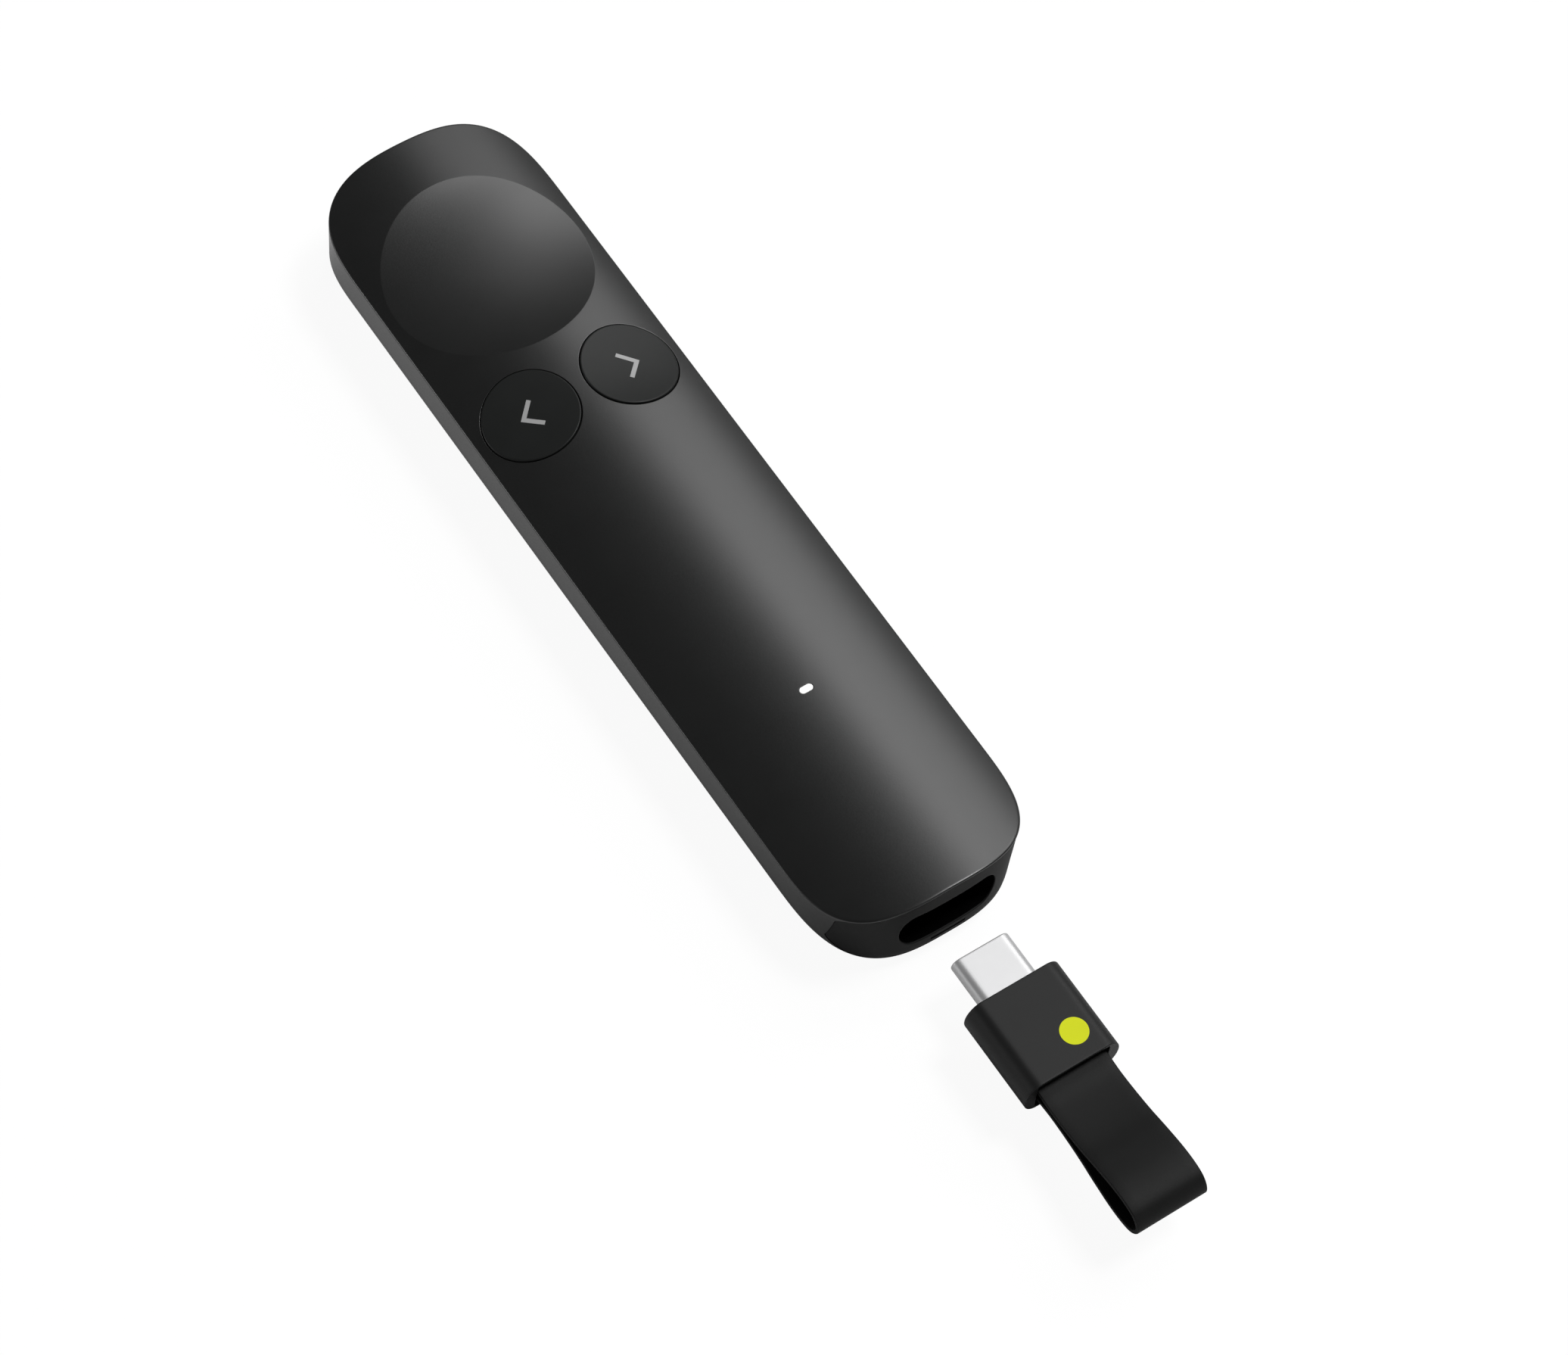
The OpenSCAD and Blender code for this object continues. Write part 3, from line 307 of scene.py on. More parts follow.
def columns(t, inset=0.0, edge_a=None):
    """Plan points and top-edge x of every column of the wall at share t from the top edge to the knuckle.
    They run from the window's right edge, or from the tail angle edge_a, round the head to the left."""

    def mixed(a_top, a_low, way):
        top, low = end_outline(a_top, False, inset, way), end_outline(a_low, True, inset, way)
        return (1 - t) * top + t * low, top[..., 0]

    if edge_a is None:
        edge_a = (1 - t) * WINDOW_TOP + t * WINDOW_LOW
        for _ in range(30):  # the angle at which this level's x meets the window
            p, _x = mixed(np.array([edge_a]), np.array([edge_a]), -1)
            q, _x = mixed(np.array([edge_a + 1e-4]), np.array([edge_a + 1e-4]), -1)
            slope = (q[0, 0] - p[0, 0]) / 1e-4
            edge_a -= (p[0, 0] - (WINDOW_W / 2 - inset)) / slope
    right, right_x = mixed(edge_a * CORNER[::-1], edge_a * CORNER[::-1], -1)
    head, head_x = mixed(HEAD_A[::-1], HEAD_A[::-1], 1)
    left, left_x = right * [-1, 1], -right_x
    v = np.linspace(0, 1, SIDE_STEPS + 1)[1:-1, None]
    side_r = (1 - v) * right[-1] + v * head[0]
    side_l = (1 - v) * head[-1] + v * left[-1]
    xs = np.concatenate([right_x, np.full(len(v), right_x[-1]), head_x, np.full(len(v), left_x[-1]),
                         left_x[::-1]])
    return np.concatenate([right, side_r, head, side_l, left[::-1]]), xs


def window_columns(inset=0.0):
    """Top-edge plan points of the columns over the window, from its left edge to its right one."""
    a = math.pi - (WINDOW_TOP + WINDOW * (math.pi - 2 * WINDOW_TOP))
    return end_outline(a, False, inset, -1)


def wall_ring(t):
    """The wall's ring at share t, in 3D."""
    p, x_top = columns(t)
    return np.column_stack([p, (1 - t) * crown_z(x_top) + t * KNUCKLE_Z])


def round_ring(z, inset=0.0):
    """The ring of the underside's round at height z."""
    p, _x = columns(1.0, inset + round_inset(z))
    return np.column_stack([p, np.full(len(p), z)])


def lifted(p, drop=0.0):
    """Plan points at the crown's height, less drop."""
    p = np.asarray(p)
    return np.column_stack([p, crown_z(p[:, 0]) - drop])


def edge_rings(top_at, corner, below):
    """The crown's last ring and the rounded edge down to the wall."""
    return [top_at(EDGE + CROWN_RIM)] + bezier(top_at(EDGE), corner, below, 6)


def tail_face(x, z, inset):
    """y of the tail wall's face, drawn in by inset, at x and z."""
    a = np.linspace(0.02, math.pi / 2, 700)
    out = np.empty(len(x))
    top, low = end_outline(a, False, inset, -1), end_outline(a, True, inset, -1)
    z_top = crown_z(top[:, 0])
    for i, (px, pz) in enumerate(zip(np.abs(x), z)):
        if pz >= KNUCKLE_Z:
            t = (z_top - pz) / (z_top - KNUCKLE_Z)
            p = (1 - t)[:, None] * top + t[:, None] * low
        else:
            p = end_outline(a, True, inset + round_inset(pz), -1)
        out[i] = np.interp(px, p[::-1, 0], p[::-1, 1])
    return out


def tail_points(p, inset=0.0, back=0.0):
    """Points of the tail wall's face from their X and Z, drawn in by inset and moved back."""
    p = np.asarray(p)
    return np.column_stack([p[:, 0], tail_face(p[:, 0], p[:, 1], inset) + back, p[:, 1]])


def window_path(gap, low_a=0.0):
    """The tail window's edge in X and Z, drawn in by gap: from its lower right corner, which starts
    at the angle low_a, over the top to the lower left."""
    half, r, low_r = CAP_W / 2 - gap, CAP_ROUND - gap, CAP_LOW_ROUND - gap
    low_z = PARTING_Z + gap
    end_a = math.pi / 2 - math.asin((half - r) / CROWN_R)
    end_x = half - r + r * math.cos(end_a)
    side_z = float(crown_z(end_x)) - LIP_T - gap - r * math.sin(end_a)
    a = np.linspace(low_a, math.pi / 2, 12)
    low = np.stack([half - low_r + low_r * np.sin(a), low_z + low_r * (1 - np.cos(a))], axis=1)
    z = np.linspace(low_z + low_r, side_z, 14)[1:-1]
    side = np.stack([np.full(len(z), half), z], axis=1)
    a = np.linspace(0, end_a, 10)
    high = np.stack([half - r + r * np.cos(a), side_z + r * np.sin(a)], axis=1)
    x = np.linspace(end_x, 0, 42)[1:]
    top = np.stack([x, crown_z(x) - LIP_T - gap], axis=1)
    right = np.concatenate([low, side, high, top])
    return np.concatenate([right, right[-2::-1] * [-1, 1]])


# ---------------------------------------------------------------- materials
BUMP_DEPTH = 0.00004  # in metres
WINDOW_GLOW = 0.42


def node_material(name):
    made = bpy.data.materials.new(name)
    made.use_nodes = True
    nodes, links = made.node_tree.nodes, made.node_tree.links
    return made, nodes, links, nodes["Principled BSDF"]


# Each of the next three adds nodes and gives the socket of their result.
def noise(nodes, links, scale, detail, rough=0.5):
    place = nodes.new("ShaderNodeTexCoord")
    texture = nodes.new("ShaderNodeTexNoise")
    texture.inputs["Scale"].default_value = scale
    texture.inputs["Detail"].default_value = detail
    texture.inputs["Roughness"].default_value = rough
    links.new(place.outputs["Object"], texture.inputs["Vector"])
    return texture.outputs["Fac"]


def ramp(nodes, links, source, low, high):
    made = nodes.new("ShaderNodeValToRGB")
    for element, place, colour in zip(made.color_ramp.elements, (0.3, 0.7), (low, high)):
        element.position = place
        element.color = (*colour, 1)
    links.new(source, made.inputs["Fac"])
    return made.outputs["Color"]


def spread(nodes, links, source, low, high):
    made = nodes.new("ShaderNodeMapRange")
    made.inputs["To Min"].default_value = low
    made.inputs["To Max"].default_value = high
    links.new(source, made.inputs["Value"])
    return made.outputs["Result"]


def surface(name, colour, rough, vary=0.08, grain=9000, bump=0.03, metal=0.0, level=0.5, rough_vary=0.04,
            cloud=220):
    """A moulded or plated surface: a slow cloud in its colour, a fine grain in its roughness and its bump."""
    made, nodes, links, shader = node_material(name)
    shader.inputs["Metallic"].default_value = metal
    shader.inputs["Specular IOR Level"].default_value = level
    slow = noise(nodes, links, cloud, 3)
    low, high = (tuple(c * (1 + k * vary) for c in colour) for k in (-1, 1))
    links.new(ramp(nodes, links, slow, low, high), shader.inputs["Base Color"])
    fine = noise(nodes, links, grain, 2, 0.6)
    links.new(spread(nodes, links, fine, rough - rough_vary, rough + rough_vary), shader.inputs["Roughness"])
    lift = nodes.new("ShaderNodeBump")
    lift.inputs["Strength"].default_value = bump
    lift.inputs["Distance"].default_value = BUMP_DEPTH
    links.new(fine, lift.inputs["Height"])
    links.new(lift.outputs["Normal"], shader.inputs["Normal"])
    return made


SHELL = surface("shell_satin", (0.0135, 0.0138, 0.0137), 0.33, vary=0.05, grain=4500, bump=0.12, level=0.5)
KEY = surface("key_satin", (0.0155, 0.0164, 0.016), 0.37, vary=0.05, grain=4500, bump=0.1, level=0.14)
CAP = surface("cap_matte", (0.0088, 0.009, 0.009), 0.6, vary=0.06, grain=6500, bump=0.08, level=0.13)
# This near-black is painted shade for the unlit insides of the slot and the notch, far darker than the cap's
# own plastic
SLOT_SHADE_BLACK = surface("painted_slot_shade", (0.0012, 0.0012, 0.0012), 0.8, vary=0.1, grain=5000, bump=0.1, level=0.02)
HEAD = surface("receiver_satin", (0.012, 0.0122, 0.0122), 0.5, vary=0.05, grain=4500, bump=0.1, level=0.2)
PRINT = surface("grey_print", (0.36, 0.36, 0.36), 0.5, vary=0.04, grain=9000, bump=0.03)
ACCENT = surface("accent_print", (0.71, 0.77, 0.008), 0.55, vary=0.03, grain=9000, bump=0.03, level=0.15)
STRAP = surface("strap_rubber", (0.0085, 0.0087, 0.0086), 0.55, vary=0.08, grain=3800, bump=0.15, level=0.13)
PLUG = surface("plug_nickel", (0.54, 0.54, 0.545), 0.46, vary=0.02, grain=5200, bump=0.02, metal=0.6,
               rough_vary=0.03)
INNER = surface("inner_black", (0.006, 0.006, 0.006), 0.7, vary=0.1, grain=5000, bump=0.1, level=0.25)
STEEL = surface("inner_steel", (0.56, 0.56, 0.57), 0.32, vary=0.04, grain=3000, bump=0.05, metal=1.0)
BOARD = surface("board_mask", (0.012, 0.07, 0.03), 0.4, vary=0.25, grain=2500, bump=0.1, cloud=900)
BRASS = surface("dull_brass", (0.66, 0.46, 0.18), 0.36, vary=0.06, grain=3000, bump=0.05, metal=1.0)
FOIL = surface("battery_foil", (0.6, 0.6, 0.61), 0.38, vary=0.05, grain=1500, bump=0.25, metal=1.0)
FOAM = surface("black_foam", (0.02, 0.02, 0.02), 0.9, vary=0.3, grain=2500, bump=0.5, level=0.2)
RED = surface("wire_red", (0.4, 0.02, 0.02), 0.5, vary=0.05, grain=4000, bump=0.05)
BLUE = surface("wire_blue", (0.03, 0.07, 0.4), 0.5, vary=0.05, grain=4000, bump=0.05)
CERAMIC = surface("light_ceramic", (0.55, 0.53, 0.48), 0.4, vary=0.06, grain=5000, bump=0.05)


def lit_window():
    made, nodes, links, shader = node_material("lit_window")
    shader.inputs["Roughness"].default_value = 0.35
    cloud = noise(nodes, links, 1500, 2)
    colour = ramp(nodes, links, cloud, (0.82, 0.82, 0.8), (0.9, 0.9, 0.89))
    links.new(colour, shader.inputs["Base Color"])
    links.new(colour, shader.inputs["Emission Color"])
    shader.inputs["Emission Strength"].default_value = WINDOW_GLOW
    return made


WINDOW_LIT = lit_window()

# pocket_liner takes the near-black of painted shade, as it lies in the slot's unlit inside
NODE_MATERIALS = {
    "pocket_liner": SLOT_SHADE_BLACK, "back_switch_plunger": CERAMIC, "back_switch_body": INNER,
    "next_switch_plunger": CERAMIC, "next_switch_body": INNER, "light_pipe": WINDOW_LIT,
    "status_led": CERAMIC,
    "main_board": BOARD, "board_screws": STEEL, "radio_chip": INNER, "radio_shield": STEEL,
    "chip_antenna": CERAMIC, "touch_sensor": BRASS, "sensor_flex": BRASS, "flex_connector": INNER,
    "battery": FOIL, "battery_foam": FOAM, "battery_lead": RED, "battery_connector": CERAMIC,
    "motor_cup": STEEL, "motor_base": STEEL, "motor_shaft": STEEL, "motor_rotor": BRASS, "motor_lead": BLUE,
    "usb_receptacle_shell": PLUG, "usb_receptacle_tongue": INNER, "receiver_board": BOARD,
    "usb_plug_insert": INNER, "strap_pin": STEEL, "accent_dot": ACCENT,
}
for node_name, material in NODE_MATERIALS.items():
    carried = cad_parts[node_name].data.materials
    carried.clear()
    carried.append(material)


# ---------------------------------------------------------------- upper shell
def upper_shell():
    skin = Skin()
    full = wall_ring(0.0)

    def plan(inset):
        p, _x = columns(0.0, inset)
        return np.concatenate([p, window_columns(inset)[1:-1]])

    def tail_share(p):
        """Share of the tail's wider edge at each point, 0 to 1."""
        share = np.clip((TAIL_Y + TAIL_EDGE_START - p[:, 1:2]) / TAIL_EDGE_RUN, 0, 1)
        return share * share * (3 - 2 * share)

    def rim_plan(inset):
        """The plan drawn in by inset, and further at the tail."""
        p, more = plan(inset), plan(inset + TAIL_EDGE - EDGE)
        return p + (more - p) * tail_share(p)

    count = len(full)
    drop = EDGE + (TAIL_DROP - EDGE) * tail_share(full)
    down = wall_ring(1.0) - full
    below = full + drop * (down / np.linalg.norm(down, axis=1)[:, None])
    over = window_columns()[1:-1]
    over_low = tail_points(np.column_stack([over[:, 0], crown_z(over[:, 0]) - TAIL_DROP]))
    corner = np.concatenate([full, lifted(over)])
    skin.loft(edge_rings(lambda i: lifted(rim_plan(i)), corner, np.concatenate([below, over_low])))

    # the walls, down to the parting line and in over it
    wall = [below] + [wall_ring(t) for t in WALL_SHARES]
    rim_z = PARTING_Z + SEAM
    wall += [round_ring(z) for z in (*SHELL_HEIGHTS, rim_z + SEAM_EDGE)]
    outer_rows = len(wall)
    inner_low, _x = columns(1.0, WALL_T, INNER_EDGE_A)
    inner_top, _x = columns(0.0, WALL_T, INNER_EDGE_A)
    wall += [round_ring(rim_z, SEAM_EDGE), np.column_stack([inner_low, np.full(count, rim_z)]),
             np.column_stack([inner_low, np.full(count, KNUCKLE_Z)]), lifted(inner_top, ROOF_T)]
    skin.loft(wall, closed=False)

    # the wall round the tail window, the window's own edge, and its inner side
    low_a = math.acos(1 - (rim_z + SEAM_EDGE - PARTING_Z) / CAP_LOW_ROUND)
    edge = window_path(-WINDOW_EDGE, low_a)
    edge[[0, -1], 1] = rim_z + SEAM_EDGE
    right, left = ([row[k] for row in wall[:outer_rows]] for k in (0, -1))
    share = np.linspace(0, 1, 5)[1:-1, None]
    front = tail_points(edge)
    feet = [tail_points((1 - share) * side[-1][[0, 2]] + share * edge[k])
            for side, k in ((left, -1), (right, 0))]
    frame_loop = np.array([*right[::-1], *over_low[::-1], *left, *feet[0], *front[::-1], *feet[1][::-1]])
    dots = grid(-13.2, 13.2, 2.8, 13.6, 0.5, 0.5)
    dots = dots[inside(frame_loop[:, [0, 2]], dots) & ~inside(window_path(-0.25), dots)]
    dots = dots[np.abs(dots[:, 0]) < WINDOW_W / 2 - 0.2]
    dots = dots[dots[:, 1] < crown_z(dots[:, 0]) - TAIL_DROP - 0.2]
    skin.fill([frame_loop[:, [0, 2]]], dots, lambda u, v: tail_points(np.column_stack([u, v])), frame_loop)
    opening = window_path(0.0, low_a)
    opening[[0, -1], 1] = rim_z + SEAM_EDGE
    rows = bezier(front, tail_points(opening), tail_points(opening, 0, WINDOW_EDGE), 3)
    rows.append(tail_points(opening, 0, WINDOW_DEPTH))
    made = skin.loft(rows, closed=False)
    inner = [np.array([row[k] for row in wall[outer_rows + 1:]]) for k in (0, -1)]
    roof = lifted(window_columns(WINDOW_DEPTH), ROOF_T)[::-1]
    behind = np.concatenate([inner[0], roof, inner[1][::-1]])
    around = [np.unwrap(np.arctan2(p[:, 2] - DOCK_Z, p[:, 0])) for p in (rows[-1], behind)]
    skin.zipped(made[-1], skin.ring(behind), *around)
    for k, foot in ((0, feet[1]), (-1, feet[0])):
        skin.face([wall[outer_rows - 1][k], wall[outer_rows][k], inner[k][0], *(row[k] for row in rows[::-1]),
                   *foot[::-1]])

    # the crown with its dish and holes
    def lifted_top(p):
        return np.column_stack([p, top_z(p[:, 0], p[:, 1])])

    def hole(loop_at, edge_r, n_steps):
        """A hole's rounded edge and its wall; gives the loops on the crown and under the roof."""
        top = loop_at(edge_r + HOLE_RIM)
        loop = loop_at(0)
        rows = [lifted_top(top)] + bezier(lifted_top(loop_at(edge_r)), lifted_top(loop),
                                          lifted_top(loop) - [0, 0, edge_r], n_steps)
        rows.append(lifted_top(loop) - [0, 0, ROOF_T])
        skin.loft(rows)
        return top, loop

    def light_hole(e):
        more = 2 * LIGHT_GAP + 2 * e
        return pill(LIGHT_L + more, LIGHT_W + more, 10, 0, LIGHT_Y)

    holes = [hole(lambda e, s=s: circle(s * BUTTON_X, BUTTON_Y, HOLE_R + e, BUTTON_STEPS), HOLE_EDGE, 4)
             for s in (-1, 1)]
    holes.append(hole(light_hole, LIGHT_EDGE, 3))
    outer = rim_plan(EDGE + CROWN_RIM)
    spots = grid(-14.4, 14.4, TAIL_Y + 0.6, HEAD_Y - 0.6, 0.72, 0.9)
    spots = spots[inside(plan(EDGE + 0.7), spots)]
    spots = spots[np.hypot(spots[:, 0], spots[:, 1] - DISH_Y) > DISH_R + 0.75]
    for top, _loop in holes:
        centre = top.mean(axis=0)
        spots = spots[~inside(centre + (top - centre) * (1 + 0.6 / np.abs(top - centre).max()), spots)]
    dish_spots = [circle(0, DISH_Y, r, max(8, int(2 * math.pi * r / 0.75)))
                  for r in np.arange(0.6, DISH_R - 0.6, 0.62)]
    dish_spots += [circle(0, DISH_Y, DISH_R + d, DISH_STEPS) for d in DISH_RIM_RINGS]
    dish_spots = np.concatenate([np.array([[0, DISH_Y]]), *dish_spots])
    inner = np.concatenate([spots, dish_spots[inside(plan(EDGE + 0.2), dish_spots)]])
    for top, _loop in holes:
        inner = inner[~inside(top, inner)]
    skin.fill([outer, *(top for top, _loop in holes)], inner,
              lambda u, v: np.column_stack([u, v, top_z(u, v)]))

    # the roof's inside
    inner_plan = np.concatenate([inner_top, window_columns(WINDOW_DEPTH)])
    coarse = grid(-13.2, 13.2, TAIL_Y + 1, HEAD_Y - 1, 1.2, 1.5)
    coarse = coarse[inside(plan(WALL_T + 1.6), coarse)]
    for _top, loop in holes:
        coarse = coarse[~inside(loop, coarse)]
    skin.fill([inner_plan, *(loop for _top, loop in holes)], coarse,
              lambda u, v: np.column_stack([u, v, top_z(u, v) - ROOF_T]), lifted(inner_plan, ROOF_T))
    skin.build("shell_skin", SHELL, "casing", ["upper_shell"])


# ---------------------------------------------------------------- bottom cover
def bottom_cover():
    skin = Skin()

    def closed(z, inset=0.0):
        """The whole ring of the round at height z."""
        more = round_inset(z)
        p, _x = columns(1.0, inset + more)
        a = math.pi - (WINDOW_LOW + WINDOW * (math.pi - 2 * WINDOW_LOW))
        tail = end_outline(a, True, inset + more, -1)[1:-1]
        p = np.concatenate([p, tail])
        return np.column_stack([p, np.full(len(p), z)])

    rim_z = PARTING_Z - SEAM
    rim = [closed(FLOOR_T, WALL_T), closed(rim_z, WALL_T), closed(rim_z, SEAM_EDGE)]
    made = skin.loft([*rim, *(closed(z) for z in (rim_z - SEAM_EDGE, *COVER_HEIGHTS))])
    skin.faces.append(tuple(made[-1]))
    skin.faces.append(tuple(made[0]))
    skin.build("cover_skin", SHELL, "casing", ["bottom_cover"])


# ---------------------------------------------------------------- tail cap
def side_profile(w, h, side_r, n=20, flat=26):
    """The dock's profile in X and Z: flat above and below, with half-elliptic sides."""
    a = np.linspace(-math.pi / 2, math.pi / 2, n)
    right = np.stack([w / 2 - side_r + side_r * np.cos(a), h / 2 * np.sin(a)], axis=1)
    left = -right
    s = np.linspace(0, 1, flat)[1:-1, None]
    return np.concatenate([right, (1 - s) * right[-1] + s * left[0], left, (1 - s) * left[-1] + s * right[0]])


def tail_cap():
    skin = Skin()

    def border(d):
        """The face's border, drawn in by d, in X and Z."""
        path = window_path(CAP_GAP + d)
        share = np.linspace(0, 1, 56)[1:-1, None]
        return np.concatenate([path, (1 - share) * path[-1] + share * path[0]])

    def slot(d):
        return side_profile(SLOT_W + 2 * d, SLOT_H + 2 * d, SLOT_SIDE_R + d) + [0, DOCK_Z]

    def notch(d):
        """The pull notch's mouth, grown by d."""
        half, low = NOTCH_W / 2 + d, PARTING_Z + NOTCH_RISE - d
        high = low + NOTCH_H + 2 * d
        corners = [np.array(p) for p in ((-half, low), (half, low), (half, high), (-half, high))]
        sides = zip(corners, corners[1:] + corners[:1], (16, 2, 16, 2))
        return np.concatenate([a + (b - a) * np.linspace(0, 1, n, endpoint=False)[:, None]
                               for a, b, n in sides])

    def face(p, back=0.0):
        return tail_points(p, CAP_RECESS, back)

    r = CAP_EDGE
    edge = bezier(face(border(r)), face(border(0)), face(border(0), r), 4)
    skin.loft([face(border(r + HOLE_RIM)), *edge, face(border(0), CAP_T)])
    mouth = bezier(face(slot(SLOT_EDGE)), face(slot(0)), face(slot(0), SLOT_EDGE), 5)
    outer = slot(COLLAR_WALL)
    end = [across(p, COLLAR_END_Y) for p in (slot(0), outer)]
    skin.loft([face(slot(SLOT_EDGE + HOLE_RIM)), *mouth, *end, face(outer, CAP_T)])
    cut = bezier(face(notch(NOTCH_EDGE)), face(notch(0)), face(notch(0), NOTCH_EDGE), 3)
    skin.loft([face(notch(2 * NOTCH_EDGE)), *cut, face(notch(0), NOTCH_DEPTH)])
    skin.fill([notch(0)], [], lambda u, v: face(np.column_stack([u, v]), NOTCH_DEPTH))
    dots = grid(-12.8, 12.8, 2.8, 13.2, 0.6, 0.5)
    dots = dots[inside(border(0.35), dots)]
    front = dots[~inside(slot(SLOT_EDGE + 0.35), dots) & ~inside(notch(0.25), dots)]
    skin.fill([border(r + HOLE_RIM), slot(SLOT_EDGE + HOLE_RIM), notch(2 * NOTCH_EDGE)], front,
              lambda u, v: face(np.column_stack([u, v])))
    skin.fill([border(0), outer], dots[~inside(slot(COLLAR_WALL + 0.3), dots)],
              lambda u, v: face(np.column_stack([u, v]), CAP_T))
    skin.build("tail_insert", CAP, "casing", ["tail_cap"])

    # painted shade: a near-black sleeve and plug in the slot and the notch, whose insides are only unlit
    dark = Skin()
    near, far = slot(-0.02), slot(SHADE_SLEEVE_T)
    rows = [face(near, SHADE_SLEEVE_START), across(near, COLLAR_END_Y), across(far, COLLAR_END_Y),
            face(far, SHADE_SLEEVE_START)]
    dark.loft([*rows, rows[0]])
    depths = 0.035, NOTCH_DEPTH - 0.1
    dark.loft([face(notch(-0.01), depth) for depth in depths])
    for depth in depths:
        dark.fill([notch(-0.01)], [], lambda u, v, depth=depth: face(np.column_stack([u, v]), depth))
    dark.build("slot_shade_sleeve", SLOT_SHADE_BLACK, "casing", ["tail_cap"])


# ---------------------------------------------------------------- buttons
def key_top(side, x, y):
    """Height of a button's top: the crown's line, proud of it, with a shallow dip."""
    r = np.hypot(np.asarray(x, float) - side * BUTTON_X, np.asarray(y, float) - BUTTON_Y)
    return crown_z(x) + BUTTON_PROUD - BUTTON_SINK * (1 - (r / BUTTON_R) ** 2)


def mark_outline(side):
    """A chevron that points away from the middle line, with arms at right angles."""
    arm, stroke, tip = MARK_ARM / math.sqrt(2), MARK_STROKE / math.sqrt(2), MARK_TIP
    inner = tip - 2 * stroke
    corners = [(tip, 0), (tip - arm, arm), (tip - arm - stroke, arm - stroke), (inner, 0),
               (tip - arm - stroke, stroke - arm), (tip - arm, -arm)]
    loop = []
    for a, b in zip(corners, corners[1:] + corners[:1]):
        steps = max(2, int(math.dist(a, b) / 0.25))
        loop += [((1 - s / steps) * a[0] + s / steps * b[0], (1 - s / steps) * a[1] + s / steps * b[1])
                 for s in range(steps)]
    return np.array([(side * (BUTTON_X + u), BUTTON_Y + v) for u, v in loop])


def button(side, name, body, node):
    skin = Skin()
    cx = side * BUTTON_X

    def clipped(x):
        return np.clip(x, -BUTTON_SKIRT_X, BUTTON_SKIRT_X)

    def ring(r, z=None, drop=0.0):
        p = circle(cx, BUTTON_Y, r, BUTTON_STEPS)
        if z is None:
            z = key_top(side, p[:, 0], p[:, 1]) - drop
        x = clipped(p[:, 0]) if r > BUTTON_R + 0.01 else p[:, 0]
        return np.column_stack([x, p[:, 1], np.broadcast_to(z, len(p))])

    radii = *np.arange(0.4, BUTTON_R - 0.5, 0.45), BUTTON_R - 0.35, BUTTON_R - BUTTON_EDGE - 0.08
    top = [ring(r) for r in radii]
    corner = ring(BUTTON_R)
    edge = bezier(ring(BUTTON_R - BUTTON_EDGE), corner, ring(BUTTON_R, drop=BUTTON_EDGE), 5)
    ledge_r = BUTTON_R + BUTTON_LEDGE
    ledge = ring(ledge_r)
    under = np.column_stack([ledge[:, :2], crown_z(ledge[:, 0]) - ROOF_T - BUTTON_LEDGE_DROP])
    root = ring(BUTTON_R)
    root[:, 2] = crown_z(clipped(root[:, 0])) - ROOF_T - BUTTON_LEDGE_DROP
    hollow = [ring(ledge_r, BUTTON_LOW_Z), ring(BUTTON_HOLLOW_R, BUTTON_LOW_Z),
              ring(BUTTON_HOLLOW_R, BUTTON_HOLLOW_Z), ring(BUTTON_POST_R, BUTTON_HOLLOW_Z),
              ring(BUTTON_POST_R, BUTTON_POST_Z)]
    rows = skin.loft([*top, *edge, root, under, *hollow])
    skin.faces.append(tuple(rows[0]))
    skin.faces.append(tuple(rows[-1]))
    skin.build(name, KEY, body, [node])
    loop = mark_outline(side)

    def lift(u, v, up):
        return np.column_stack([u, v, key_top(side, u, v) + up])

    mark = Skin()
    mark.loft([lift(*loop.T, up) for up in (MARK_PROUD, MARK_ROOT)])
    for up in (MARK_PROUD, MARK_ROOT):
        mark.fill([loop], [], lambda u, v, up=up: lift(u, v, up))
    mark.build(name + "_mark", PRINT, body, [node + "_mark"])


